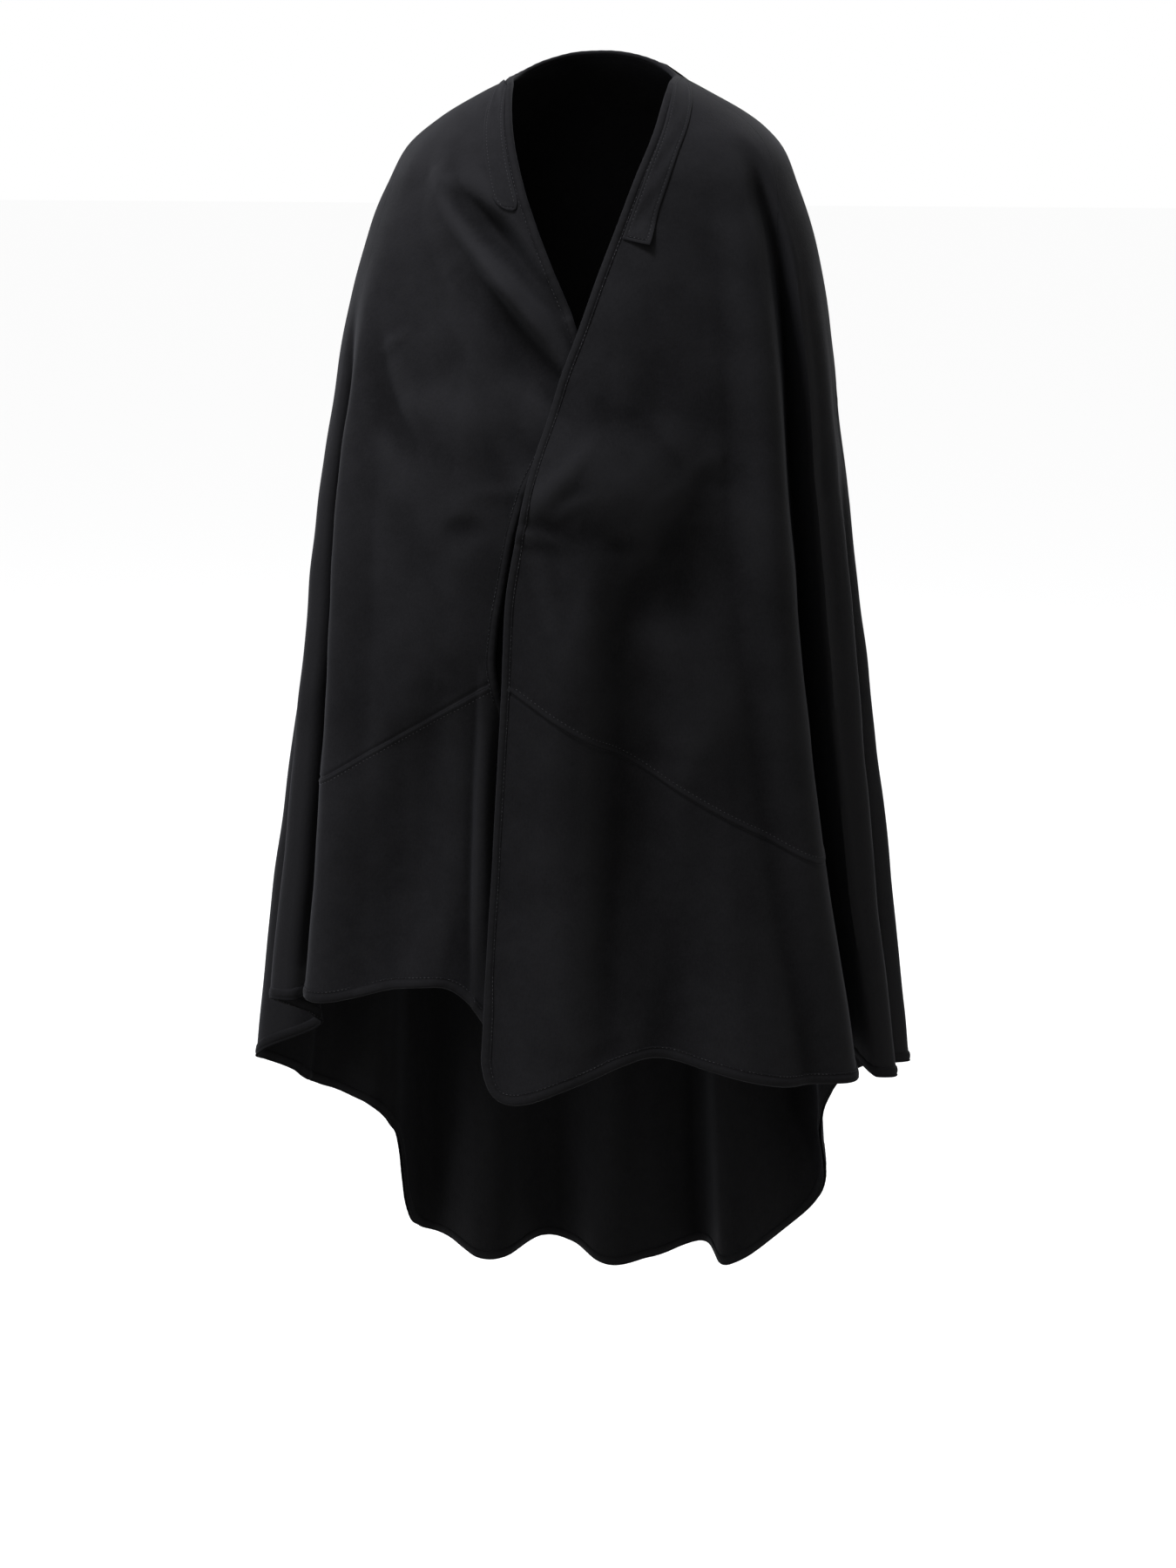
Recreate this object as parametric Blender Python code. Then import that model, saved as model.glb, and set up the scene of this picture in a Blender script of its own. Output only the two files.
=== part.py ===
"""Burnous: a long hooded wool cloak, worn closed by hand, as its cut and sewn pieces.

Frame: metres, +Z up, the front faces -Y and the wearer's left is +X.  The origin is
the middle of the neck, where the wearer carries the cloak.

The cloth is one drape, worked out as drape(angle, station): an oval section for each
station from the neck to the hem, lifted and dropped to the hem line, with the hanging
folds laid on it.  Angle 0 is the middle of the back, +90 the wearer's left side, and
180 the middle of the front; the right front runs past -180 and the left past +180,
because the fronts lap.  Every panel, binding and band is cut from that one drape.
"""
import math

import bmesh
import bpy
import numpy as np

# ---------------------------------------------------------------- driving sizes
CLOTH = 0.0025          # thickness of the felted cloth
SEAM_GAP = 0.0003       # between two pieces where they are sewn together
LAP = 0.012             # how far the right front lies behind the left where they lap
BINDING_LEG = 0.0048    # how far the binding reaches over the cloth
BINDING_LIP = 0.0026    # how far it stands past the cloth's edge
BINDING_PLY = 0.0008    # thickness of one leg of the binding
BINDING_CLEAR = 0.0007  # between the binding's leg and the cloth in it
BINDING_ROOM = 0.0008   # between the cloth's edge and the bottom of the fold
BAND_INNER = 0.012      # neck band: distance of its near side from the front edge
BAND_OUTER = 0.042      # and of its far side
BAND_PLY = 0.0012
BAND_CLEAR = 0.00095
BAND_SPLITS = 4         # rows of a band to each row of the front it lies on
SHOULDER_SEAM = 96.0    # angle of the same seam at the neck, where no fold has begun
STAND_LEAN = 0.015      # how far the low stand at the neck leans toward the neck
STAND_RISE = 0.013      # and how far it rises
HOOD_HALF_ANGLE = 58.0  # the hood hangs from the neck seam between plus and minus this
HOOD_PLIES = 0.008      # least distance between the two layers of the hood
FRONT_COLUMNS = 23
BACK_COLUMNS = 68
UPPER_ROWS = 11
GORE_ROWS = 7
EDGE_STRIP = 0.030      # share of a front's width in the narrow strip under its edge binding
HEM_STRIP = 0.030       # share of a gore's length in the narrow strip under the hem binding
HOOD_COLUMNS = 24
STAND_COLUMNS = 32
ARC_PER_DEGREE = 0.0042  # mean girth for one degree, used to lay pulls in the cloth
FALL = 1.06              # mean length of cloth from neck to hem

# Side silhouette: station, sideways shift of the oval, half width, height
SIDE = [
    (0.00, 0.006, 0.086, -0.036),
    (0.04, 0.007, 0.115, -0.049),
    (0.08, 0.008, 0.158, -0.073),
    (0.115, 0.006, 0.189, -0.100),
    (0.15, 0.004, 0.208, -0.138),
    (0.20, 0.002, 0.228, -0.190),
    (0.27, -0.001, 0.246, -0.262),
    (0.36, -0.003, 0.260, -0.360),
    (0.48, -0.004, 0.273, -0.478),
    (0.62, -0.004, 0.287, -0.622),
    (0.80, -0.005, 0.308, -0.815),
    (1.00, -0.004, 0.336, -1.060),
]
# Front middle: station, forward position, height
FRONT = [
    (0.00, -0.088, -0.060),
    (0.08, -0.119, -0.115),
    (0.18, -0.148, -0.197),
    (0.27, -0.172, -0.276),
    (0.36, -0.192, -0.356),
    (0.46, -0.216, -0.440),
    (0.54, -0.222, -0.515),
    (0.62, -0.229, -0.594),
    (0.80, -0.248, -0.785),
    (1.00, -0.275, -1.000),
]
# Back middle: station, backward position, height
BACK = [
    (0.00, 0.066, -0.012),
    (0.04, 0.090, -0.032),
    (0.08, 0.108, -0.064),
    (0.18, 0.128, -0.175),
    (0.27, 0.130, -0.285),
    (0.36, 0.128, -0.400),
    (0.48, 0.128, -0.570),
    (0.62, 0.132, -0.780),
    (0.80, 0.142, -1.060),
    (1.00, 0.155, -1.385),
]
# Hem line: angle, height.  Short over the lifted fronts, long at the back.
HEM = [
    (-196, -0.985), (-180, -0.975), (-169, -0.962), (-164, -0.938), (-158, -0.922),
    (-150, -0.928), (-140, -0.948), (-127, -0.965), (-117, -0.968), (-110, -0.990),
    (-103, -1.025), (-93, -1.080), (-82, -1.118), (-70, -1.160), (-62, -1.176),
    (-55, -1.196), (-51, -1.222), (-47.5, -1.262), (-44.5, -1.305), (-41, -1.346),
    (-37, -1.370), (-31, -1.382), (-20, -1.388),
    (0, -1.395), (20, -1.386), (30, -1.370), (37, -1.352), (42, -1.328), (47, -1.285), (52, -1.222),
    (57, -1.160), (63, -1.116), (71, -1.090), (82, -1.076),
    (92, -1.065), (105, -1.050), (120, -1.030), (135, -1.020), (150, -1.000),
    (163, -0.985), (175, -1.000), (186, -1.020), (189, -1.012), (191, -0.995),
    (196, -0.960),
]
# Front edges: station, sideways position of the right edge, and of the left edge
EDGE = [
    (0.00, -0.066, 0.080),
    (0.05, -0.062, 0.081),
    (0.10, -0.052, 0.071),
    (0.15, -0.035, 0.056),
    (0.20, -0.015, 0.040),
    (0.27, 0.012, 0.015),
    (0.34, 0.018, -0.006),
    (0.40, 0.000, -0.024),
    (0.46, -0.036, -0.036),
    (0.54, -0.055, -0.045),
    (0.60, -0.066, -0.049),
    (0.63, -0.062, -0.051),
    (0.70, -0.050, -0.055),
    (0.80, -0.042, -0.060),
    (1.00, -0.042, -0.068),
]
# Hanging folds: name, angle at the neck, half way and hem, half width (degrees) at the
# neck and hem, how far out it stands (a trough is below zero), station where it starts,
# station where it is full
FOLDS = [
    ("right front roll", -114, -124, -132, 12, 9, 0.020, 0.14, 0.50),
    ("right front trough", -106, -115, -122.5, 9, 7.5, -0.066, 0.22, 0.60),
    ("right second fold", -97, -105.5, -112.5, 8, 8, 0.018, 0.25, 0.75),
    ("right side trough", -90, -98, -103.5, 8, 8, -0.032, 0.30, 0.85),
    ("right side tip", -80, -88, -92, 14, 10, 0.036, 0.20, 0.90),
    ("right back hollow", -62, -59, -55, 14, 13, -0.038, 0.20, 0.95),
    ("right back fold", -46, -42, -37, 12, 10.5, 0.062, 0.16, 0.95),
    ("right tail trough", -30, -27, -23, 11, 10, -0.034, 0.25, 0.95),
    ("tail right fold", -12, -12, -11, 10, 10, 0.034, 0.22, 0.95),
    ("tail trough", 4, 3, 3, 10, 10, -0.035, 0.30, 0.95),
    ("tail left fold", 20, 20, 20, 10, 10, 0.038, 0.22, 0.95),
    ("left tail trough", 32, 31, 30, 12, 12, -0.046, 0.25, 0.95),
    ("left back fold", 48, 46, 44.5, 12, 11, 0.042, 0.16, 0.95),
    ("left back hollow", 64, 62, 60, 11, 12, -0.040, 0.20, 0.95),
    ("left last fold", 80, 82, 83, 10, 9, 0.024, 0.15, 0.85),
    ("left groove", 92, 94, 93.5, 7, 6.5, -0.024, 0.30, 0.90),
    ("left next fold", 102, 104.5, 102.5, 8, 6.5, 0.018, 0.16, 0.60),
    ("left front trough", 110, 116, 113, 9, 8, -0.076, 0.12, 0.42),
    ("left front roll", 121, 127, 122.5, 11, 10, 0.026, 0.10, 0.40),
    ("left hem bulge", 186, 184, 182, 20, 15, 0.026, 0.55, 1.00),
    ("left hem hollow", 160, 160, 158, 16, 14, -0.030, 0.50, 1.00),
    ("left hem swell", 138, 138, 137, 14, 13, 0.014, 0.60, 1.00),
    ("right hem hollow", -160, -161, -162, 16, 12, -0.030, 0.55, 1.00),
    ("right hem swell", -143, -143, -147, 14, 12, 0.012, 0.60, 1.00),
]
# Pulls across the cloth: name, angle and station of each end, half width, rise
PULLS = [
    ("shoulder drag", -133, 0.125, -181, 0.285, 0.034, 0.012),
    ("hollow under the drag", -156, 0.222, -179, 0.325, 0.032, -0.014),
    ("hollow over the drag", -151, 0.140, -168, 0.182, 0.024, -0.003),
    ("pull from the grip", 184, 0.455, 168, 0.360, 0.026, 0.009),
    ("hollow beside the hand", 148, 0.420, 159, 0.570, 0.050, -0.014),
    ("long front hollow", 169, 0.500, 171, 0.860, 0.045, -0.014),
    ("elbow hollow", -128, 0.290, -134, 0.410, 0.028, -0.008),
    ("right front hollow", -150, 0.740, -153, 0.960, 0.040, -0.010),
]
# Hood, hanging down the back as a bag, along its cut from the neck seam to the face
# edge: place, share of its reach down the back, distance off the back, what the outer
# layer adds where the bag is full, lift
HOOD = [
    ("neck seam", 0.03, 0.0034, None, 0.000),
    ("under layer, upper", 0.12, 0.006, None, 0.000),
    ("under layer", 0.36, 0.009, None, 0.000),
    ("under layer, low", 0.70, 0.010, None, 0.000),
    ("bottom", 0.99, 0.012, None, 0.000),
    ("bottom, outside", 1.01, 0.013, 0.014, 0.000),
    ("bag, low", 0.82, 0.010, 0.030, 0.000),
    ("bag", 0.58, 0.010, 0.046, 0.000),
    ("bag, upper", 0.38, 0.009, 0.053, 0.000),
    ("bag, shoulder", 0.25, 0.008, 0.056, -0.004),
    ("face edge", 0.16, 0.006, 0.056, -0.006),
]


# ---------------------------------------------------------------- curves and bumps
def curve(rows, column, x):
    """Smooth curve through one column of a table whose first column is its position."""
    xs = np.array([row[0] for row in rows], float)
    ys = np.array([row[column] for row in rows], float)
    x = np.clip(np.asarray(x, float), xs[0], xs[-1])
    step = np.diff(xs)
    slope = np.diff(ys) / step
    m = np.zeros(len(xs))
    m[0], m[-1] = slope[0], slope[-1]
    for i in range(1, len(xs) - 1):
        if slope[i - 1] * slope[i] > 0:
            mean = (slope[i - 1] * step[i] + slope[i] * step[i - 1]) / (step[i - 1] + step[i])
            limit = 3 * min(abs(slope[i - 1]), abs(slope[i]))
            m[i] = max(-limit, min(limit, mean))
    i = np.clip(np.searchsorted(xs, x, side="right") - 1, 0, len(xs) - 2)
    h = step[i]
    u = (x - xs[i]) / h
    return ((1 + 2 * u) * (1 - u) ** 2 * ys[i] + u * (1 - u) ** 2 * h * m[i]
            + u * u * (3 - 2 * u) * ys[i + 1] + u * u * (u - 1) * h * m[i + 1])


def ease(low, high, x):
    u = np.clip((np.asarray(x, float) - low) / (high - low), 0, 1)
    return u * u * (3 - 2 * u)


def bump(distance, half_width):
    return 0.5 + 0.5 * np.cos(np.pi * np.clip(np.abs(distance) / half_width, 0, 1))


def fold_angle(fold, t):
    """Angle of a fold's middle at station t, through its three named angles."""
    return (fold[1] * (1 - t) * (1 - 2 * t) + fold[2] * 4 * t * (1 - t)
            + fold[3] * t * (2 * t - 1))


# ---------------------------------------------------------------- the drape
def section(angle, t):
    """The oval sections, before the folds."""
    s, c = np.sin(np.radians(angle)), np.cos(np.radians(angle))
    front, back = np.clip(-c, 0, 1), np.clip(c, 0, 1)
    x = curve(SIDE, 1, t) + curve(SIDE, 2, t) * s
    y = curve(FRONT, 1, t) * front ** 0.92 + curve(BACK, 1, t) * back ** 0.92
    side_z, front_z, back_z = curve(SIDE, 3, t), curve(FRONT, 2, t), curve(BACK, 2, t)
    z = side_z + (front_z - side_z) * front ** 1.6 + (back_z - side_z) * back ** 1.6
    plain_hem = (SIDE[-1][3] + (FRONT[-1][2] - SIDE[-1][3]) * front ** 1.6
                 + (BACK[-1][2] - SIDE[-1][3]) * back ** 1.6)
    z = z + (curve(HEM, 1, angle) - plain_hem) * ease(0.15, 1.0, t) * t
    return x, y, z


def fold_height(angle, t):
    """How far the folds and pulls push the cloth outward."""
    out = np.zeros(np.broadcast(angle, t).shape)
    for fold in FOLDS:
        half_width = fold[4] + (fold[5] - fold[4]) * t
        out = out + (fold[6] * ease(fold[7], fold[8], t) * (0.35 + 0.65 * t)
                     * bump(angle - fold_angle(fold, t), half_width))
    for _, a0, t0, a1, t1, half_width, rise in PULLS:
        ax, ay = a0 * ARC_PER_DEGREE, t0 * FALL
        bx, by = a1 * ARC_PER_DEGREE - ax, t1 * FALL - ay
        px, py = angle * ARC_PER_DEGREE - ax, t * FALL - ay
        k = np.clip((px * bx + py * by) / (bx * bx + by * by), 0, 1)
        away = np.hypot(px - k * bx, py - k * by)
        taper = np.sin(np.pi * np.clip(k, 0.02, 0.98))
        out = out + rise * bump(away, half_width * (0.55 + 0.9 * taper ** 0.7)) * (0.25 + 0.75 * taper)
    return out


def drape(angle, t):
    """Middle of the cloth at an angle round the wearer and a station down it."""
    angle, t = np.broadcast_arrays(np.asarray(angle, float), np.asarray(t, float))
    x, y, z = section(angle, t)
    x0, y0, _ = section(angle - 0.25, t)
    x1, y1, _ = section(angle + 0.25, t)
    run = np.hypot(x1 - x0, y1 - y0)
    out_x, out_y = -(y1 - y0) / run, (x1 - x0) / run
    out = fold_height(angle, t)
    under = LAP * ease(158, 172, -angle) * ease(0.16, 0.30, t)
    out = (out - under) * ease(0.0, 0.12, t)
    return np.stack([x + out_x * out, y + out_y * out, z], -1)


def unit(v):
    return v / np.maximum(np.linalg.norm(v, axis=-1, keepdims=True), 1e-12)


def outward(angle, t):
    """Outward normal of the drape."""
    low, high = np.maximum(t - 0.004, 0), np.minimum(t + 0.004, 1)
    across = drape(angle + 1.4, t) - drape(angle - 1.4, t)
    down = drape(angle, high) - drape(angle, low)
    return unit(np.cross(across, down))


# ---------------------------------------------------------------- where the pieces are cut
def edge_angle(side, t):
    """Angle of a front edge: side -1 is the right front, +1 the left."""
    x = curve(EDGE, 1 if side < 0 else 2, t) - curve(SIDE, 1, t)
    reach = np.degrees(np.arcsin(np.clip(x / curve(SIDE, 2, t), -1, 1)))
    return side * 180 - reach


def side_seam_angle(side, t):
    """The side seam lies in the bottom of the deep trough behind each front."""
    name = "right front trough" if side < 0 else "left front trough"
    trough = fold_angle([row for row in FOLDS if row[0] == name][0], t)
    return trough + (side * SHOULDER_SEAM - trough) * (1 - ease(0.0, 0.24, t))


def spread(start, end, columns):
    """Shares of a span, set closer together where folds are deep and narrow."""
    fine = np.linspace(0, 1, 721)
    angle = start + (end - start) * fine
    density = np.ones(fine.shape)
    for fold in FOLDS:
        crowding = abs(fold[6]) / 0.05 * 8 / fold[5]
        density += 1.5 * crowding * bump(angle - fold_angle(fold, 0.85), 1.5 * fold[5])
    total = np.concatenate([[0], np.cumsum((density[1:] + density[:-1]) / 2)])
    return np.interp(np.linspace(0, 1, columns + 1), total / total[-1], fine)


def front_angle(side, u, t):
    """Angle at share u of a front, from its edge to the side seam."""
    edge = edge_angle(side, t)
    gap = math.degrees(SEAM_GAP / 2 / 0.20) * side
    return edge + (side_seam_angle(side, t) + gap - edge) * u


def gore_seam_station(side, u):
    """Station of the gore seam: a straight cut that falls away from the front edge."""
    low, high = np.full(u.shape, 0.35), np.full(u.shape, 0.98)
    start_x, start_z, fall, sweep = (-0.055, -0.603, 0.66, 0.0) if side < 0 else (-0.045, -0.612, 0.66, 0.16)
    for _ in range(30):
        t = (low + high) / 2
        point = drape(front_angle(side, u, t), t)
        away = np.abs(point[..., 0] - start_x)
        above = point[..., 2] > start_z - fall * away + sweep * away ** 2
        low, high = np.where(above, t, low), np.where(above, high, t)
    return (low + high) / 2


def front_grids(side, columns=FRONT_COLUMNS, upper_rows=UPPER_ROWS, gore_rows=GORE_ROWS):
    """Angles and stations of one front's two pieces, upper and gore."""
    u = spread(edge_angle(side, 0.85), side_seam_angle(side, 0.85), columns - 1)
    u = np.concatenate([[0], EDGE_STRIP + (1 - EDGE_STRIP) * u])
    seam = gore_seam_station(side, u)
    gap = SEAM_GAP / 2 / FALL
    down = np.linspace(0, 1, upper_rows + 1)[:, None] ** 1.35
    upper_t = (seam - gap)[None, :] * down
    down = np.append(np.linspace(0, 1 - HEM_STRIP, gore_rows), 1)[:, None]
    gore_t = (seam + gap)[None, :] + (1 - seam - gap)[None, :] * down
    return [(front_angle(side, u[None, :], t), t) for t in (upper_t, gore_t)]


def back_grid(right, left, columns=BACK_COLUMNS):
    """Angles and stations of the back, on the same rows as the side seams."""
    rows = []
    for upper, gore in (right, left):
        seam = (upper[1][-1, -1] + gore[1][0, -1]) / 2
        rows.append(np.concatenate([upper[1][:-1, -1], [seam], gore[1][1:, -1]]))
    u = spread(side_seam_angle(-1, 0.85), side_seam_angle(1, 0.85), columns)[None, :]
    t = rows[0][:, None] * (1 - u) + rows[1][:, None] * u
    gap = math.degrees(SEAM_GAP / 2 / 0.20)
    start, end = side_seam_angle(-1, t) + gap, side_seam_angle(1, t) - gap
    return start + (end - start) * u, t


# ---------------------------------------------------------------- solids
def cloth_material(name, colour, roughness):
    material = bpy.data.materials.new(name)
    material.use_nodes = True
    shader = material.node_tree.nodes["Principled BSDF"]
    shader.inputs["Base Color"].default_value = (*colour, 1)
    shader.inputs["Roughness"].default_value = roughness
    shader.inputs["Metallic"].default_value = 0
    return material


def finish(name, bm, material):
    bmesh.ops.triangulate(bm, faces=bm.faces[:], quad_method="FIXED")
    bmesh.ops.recalc_face_normals(bm, faces=bm.faces[:])
    mesh = bpy.data.meshes.new(name)
    bm.to_mesh(mesh)
    bm.free()
    mesh.shade_smooth()
    mesh.set_sharp_from_angle(angle=math.radians(50))
    mesh.materials.append(material)
    obj = bpy.data.objects.new(name, mesh)
    bpy.context.scene.collection.objects.link(obj)
    obj.parent = cloak
    return obj


def wall(name, middle, normal, thickness, material):
    """A cloth wall: a sheet of points, moved half its thickness each way, with rims."""
    rows, columns = middle.shape[:2]
    bm = bmesh.new()
    sides = []
    for sign in (0.5, -0.5):
        points = middle + normal * thickness * sign
        sides.append([[bm.verts.new(points[i, j]) for j in range(columns)] for i in range(rows)])
    outer, inner = sides
    for i in range(rows - 1):
        for j in range(columns - 1):
            bm.faces.new((outer[i][j], outer[i][j + 1], outer[i + 1][j + 1], outer[i + 1][j]))
            bm.faces.new((inner[i][j], inner[i + 1][j], inner[i + 1][j + 1], inner[i][j + 1]))
    for i in range(rows - 1):
        for j in (0, columns - 1):
            bm.faces.new((outer[i][j], outer[i + 1][j], inner[i + 1][j], inner[i][j]))
    for j in range(columns - 1):
        for i in (0, rows - 1):
            bm.faces.new((outer[i][j], inner[i][j], inner[i][j + 1], outer[i][j + 1]))
    return finish(name, bm, material)


def on_facets(grid, row, column):
    """A value on a wall's own three-sided faces, at a place between its rows and columns."""
    i, j = min(int(row), len(grid) - 2), min(int(column), grid.shape[1] - 2)
    p, q = row - i, column - j
    corner, opposite = grid[i, j], grid[i + 1, j + 1]
    if q > p:
        return corner + (grid[i, j + 1] - corner) * q + (opposite - grid[i, j + 1]) * p
    return corner + (grid[i + 1, j] - corner) * p + (opposite - grid[i + 1, j]) * q


def binding(name, edge, inward, normal, edge_first, material):
    """A folded strip swept along an edge, with the cloth's edge in its slot.

    edge_first says, for each stretch, which way the cloth's own faces are split, so
    that the slot's walls are split the same way and stay clear of them.
    """
    slot = CLOTH / 2 + BINDING_CLEAR
    skin = slot + BINDING_PLY
    profile = [(-BINDING_LEG, skin), (BINDING_LIP, skin), (BINDING_LIP, -skin), (-BINDING_LEG, -skin),
               (-BINDING_LEG, -slot), (BINDING_ROOM, -slot), (BINDING_ROOM, slot), (-BINDING_LEG, slot)]
    bm = bmesh.new()
    rings = [[bm.verts.new(e - i * a + n * b) for a, b in profile]
             for e, i, n in zip(edge, inward, normal)]
    count = len(profile)
    for ring, after, first in zip(rings, rings[1:], edge_first):
        turned = (not first, True, first, False, not first, False, first, False)
        for k in range(count):
            m = (k + 1) % count
            if turned[k]:
                bm.faces.new((ring[k], ring[m], after[m], after[k]))
            else:
                bm.faces.new((ring[m], after[m], after[k], ring[k]))
    for ring in (rings[0], rings[-1]):
        for a, b, c, d in ((0, 1, 6, 7), (1, 2, 5, 6), (2, 3, 4, 5)):
            bm.faces.new((ring[a], ring[b], ring[c], ring[d]))
    return finish(name, bm, material)


def into_cloth(direction, along):
    """From an edge into its cloth, along the cloth's own facets, one unit square to the edge."""
    direction, along = unit(direction), unit(along)
    slant = np.sum(direction * along, axis=-1, keepdims=True)
    return direction / np.sqrt(np.clip(1 - slant * slant, 0.7, 1))


# ---------------------------------------------------------------- build
for old in list(bpy.data.objects):
    bpy.data.objects.remove(old, do_unlink=True)

cloak = bpy.data.objects.new("cloak", None)
bpy.context.scene.collection.objects.link(cloak)

wool = cloth_material("charcoal wool", (0.022, 0.022, 0.025), 0.92)
wool_gore = cloth_material("charcoal wool gore", (0.022, 0.022, 0.025), 0.92)
wool_back = cloth_material("charcoal wool back", (0.018, 0.018, 0.020), 0.94)
trim = cloth_material("charcoal binding", (0.028, 0.028, 0.031), 0.85)

grids = {side: front_grids(side) for side in (-1, 1)}
for side, word in ((-1, "right"), (1, "left")):
    (upper_a, upper_t), (gore_a, gore_t) = grids[side]
    wall("front_" + word, drape(upper_a, upper_t), outward(upper_a, upper_t), CLOTH, wool)
    wall("gore_" + word, drape(gore_a, gore_t), outward(gore_a, gore_t), CLOTH, wool_gore)

back_a, back_t = back_grid(grids[-1], grids[1])
wall("back", drape(back_a, back_t), outward(back_a, back_t), CLOTH, wool_back)

# Front and hem bindings run from the neck down the front edge and round the corner
# to the side seam, on the panels' own points.
for side, word in ((-1, "right"), (1, "left")):
    (upper_a, upper_t), (gore_a, gore_t) = grids[side]
    angle = np.concatenate([upper_a, gore_a[1:]])
    t = np.concatenate([upper_t, gore_t[1:]])
    point, normal = drape(angle, t), outward(angle, t)
    last = len(point) - 1
    edge = np.concatenate([point[:, 0], point[last, 1:]])
    face = np.concatenate([normal[:, 0], normal[last, 1:]])
    into = np.concatenate([point[:, 1] - point[:, 0], point[last - 1, 1:] - point[last, 1:]])
    along = np.gradient(edge, axis=0)
    into = into_cloth(into, along)
    corner = unit(point[last, 1] - point[last, 0]) + unit(point[last - 1, 0] - point[last, 0])
    into[last] = unit(corner) * 1.3
    edge[0] += (edge[1] - edge[0]) * 0.10
    edge[-1] += (edge[-2] - edge[-1]) * 0.04
    binding("binding_" + word, edge, into, face, [k < last for k in range(len(edge) - 1)], trim)

point, normal = drape(back_a, back_t), outward(back_a, back_t)
edge = point[-1].copy()
into = into_cloth(point[-2] - point[-1], np.gradient(edge, axis=0))
edge[0] += (edge[1] - edge[0]) * 0.04
edge[-1] += (edge[-2] - edge[-1]) * 0.04
binding("binding_back", edge, into, normal[-1], [False] * (len(edge) - 1), trim)

# Neck bands lie on the fronts, on the panels' own rows, from the neck to the chest.
for side, word, rows in ((-1, "right", 4), (1, "left", 5)):
    angle, t = grids[side][0]
    point, normal = drape(angle, t), outward(angle, t)
    skin = point + normal * CLOTH / 2
    middle, face = [], []
    for place in np.maximum(np.arange(rows * BAND_SPLITS + 1) / BAND_SPLITS, 0.1):
        i = min(int(place), rows - 1)
        row = skin[i] + (skin[i + 1] - skin[i]) * (place - i)
        length = np.concatenate([[0], np.cumsum(np.linalg.norm(np.diff(row, axis=0), axis=-1))])
        stops = np.interp(np.linspace(BAND_INNER, BAND_OUTER, 5), length, np.arange(len(row)))
        middle.append([on_facets(skin, place, stop) for stop in stops])
        face.append([on_facets(normal, place, stop) for stop in stops])
    middle, face = np.array(middle), unit(np.array(face))
    wall("band_" + word, middle + face * (BAND_CLEAR + BAND_PLY / 2), face, BAND_PLY, trim)

# A low stand runs on the neck seam from front edge to front edge and leans to the neck.
angle = np.linspace(edge_angle(-1, 0.0) + 1.0, edge_angle(1, 0.0) - 1.0, STAND_COLUMNS + 1)
height = (0.45 + 0.55 * ease(122, 100, np.abs(angle)))[:, None]
ring = drape(angle, 0.0)
to_neck = unit(ring - drape(angle, 0.02))
up = np.array([0.0, 0.0, 1.0])
stand = np.array([ring + to_neck * (SEAM_GAP + STAND_LEAN * q * height) + up * (STAND_RISE * q ** 1.4 * height)
                  for q in (0.0, 0.25, 0.5, 0.75, 1.0)])
face = unit(np.cross(np.gradient(stand, axis=0), np.gradient(stand, axis=1)))
face[0] = outward(angle, np.zeros(angle.shape))
wall("stand", stand, face, CLOTH, wool)
rim = stand[-1].copy()
into = into_cloth(stand[-2] - rim, np.gradient(rim, axis=0))
binding("binding_stand", rim, into, face[-1], [False] * (len(rim) - 1), trim)

# The hood hangs behind it as a pointed bag, its outer layer standing off the inner one.
angle = np.linspace(-HOOD_HALF_ANGLE, HOOD_HALF_ANGLE, HOOD_COLUMNS + 1)
around = np.abs(angle)
fullness = 0.02 + 0.98 * ease(54, 10, around)
reach = 0.060 + 0.050 * ease(58, 36, around) + 0.20 * ease(54, 0, around) ** 1.2
hood = []
for _, share, off, extra, lift in HOOD:
    t = share * reach
    away = off if extra is None else off + HOOD_PLIES + extra * fullness
    away = np.broadcast_to(away, angle.shape)[:, None]
    hang = outward(angle, t)
    if extra:
        hang[:, 2] *= 1 - 0.8 * fullness
        hang = unit(hang)
    hood.append(drape(angle, t) + hang * away + up * lift * fullness[:, None])
hood = np.array(hood)
face = unit(np.cross(np.gradient(hood, axis=0), np.gradient(hood, axis=1)))
wall("hood", hood, face, CLOTH, wool_back)
rim = hood[-1].copy()
into = into_cloth(hood[-2] - rim, np.gradient(rim, axis=0))
binding("binding_hood", rim, into, face[-1], [False] * (len(rim) - 1), trim)
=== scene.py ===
import math

import bmesh
import bpy
import numpy as np
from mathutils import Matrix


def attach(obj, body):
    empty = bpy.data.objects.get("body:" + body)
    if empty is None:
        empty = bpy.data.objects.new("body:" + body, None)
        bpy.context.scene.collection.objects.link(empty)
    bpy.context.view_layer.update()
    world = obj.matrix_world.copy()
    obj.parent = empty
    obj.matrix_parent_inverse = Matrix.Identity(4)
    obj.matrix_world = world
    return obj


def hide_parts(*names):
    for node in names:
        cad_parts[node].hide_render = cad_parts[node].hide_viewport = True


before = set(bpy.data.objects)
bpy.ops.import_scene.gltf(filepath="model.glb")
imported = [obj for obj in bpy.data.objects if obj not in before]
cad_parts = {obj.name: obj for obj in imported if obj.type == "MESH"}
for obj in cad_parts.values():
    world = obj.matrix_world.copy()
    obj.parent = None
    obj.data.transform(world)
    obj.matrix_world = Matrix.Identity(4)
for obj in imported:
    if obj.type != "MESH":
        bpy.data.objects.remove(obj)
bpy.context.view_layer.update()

# ---------------------------------------------------------------- the back
# The back is the great half-round of thick felted wool that every other panel is sewn
# to.  It hangs from the neck over both shoulders to the side seams and falls longest in
# the middle, as a tail.  One cloth, about 2.5 mm thick, cut in one width and left soft.
CLOTH = 0.0025          # thickness of the felted cloth
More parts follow.
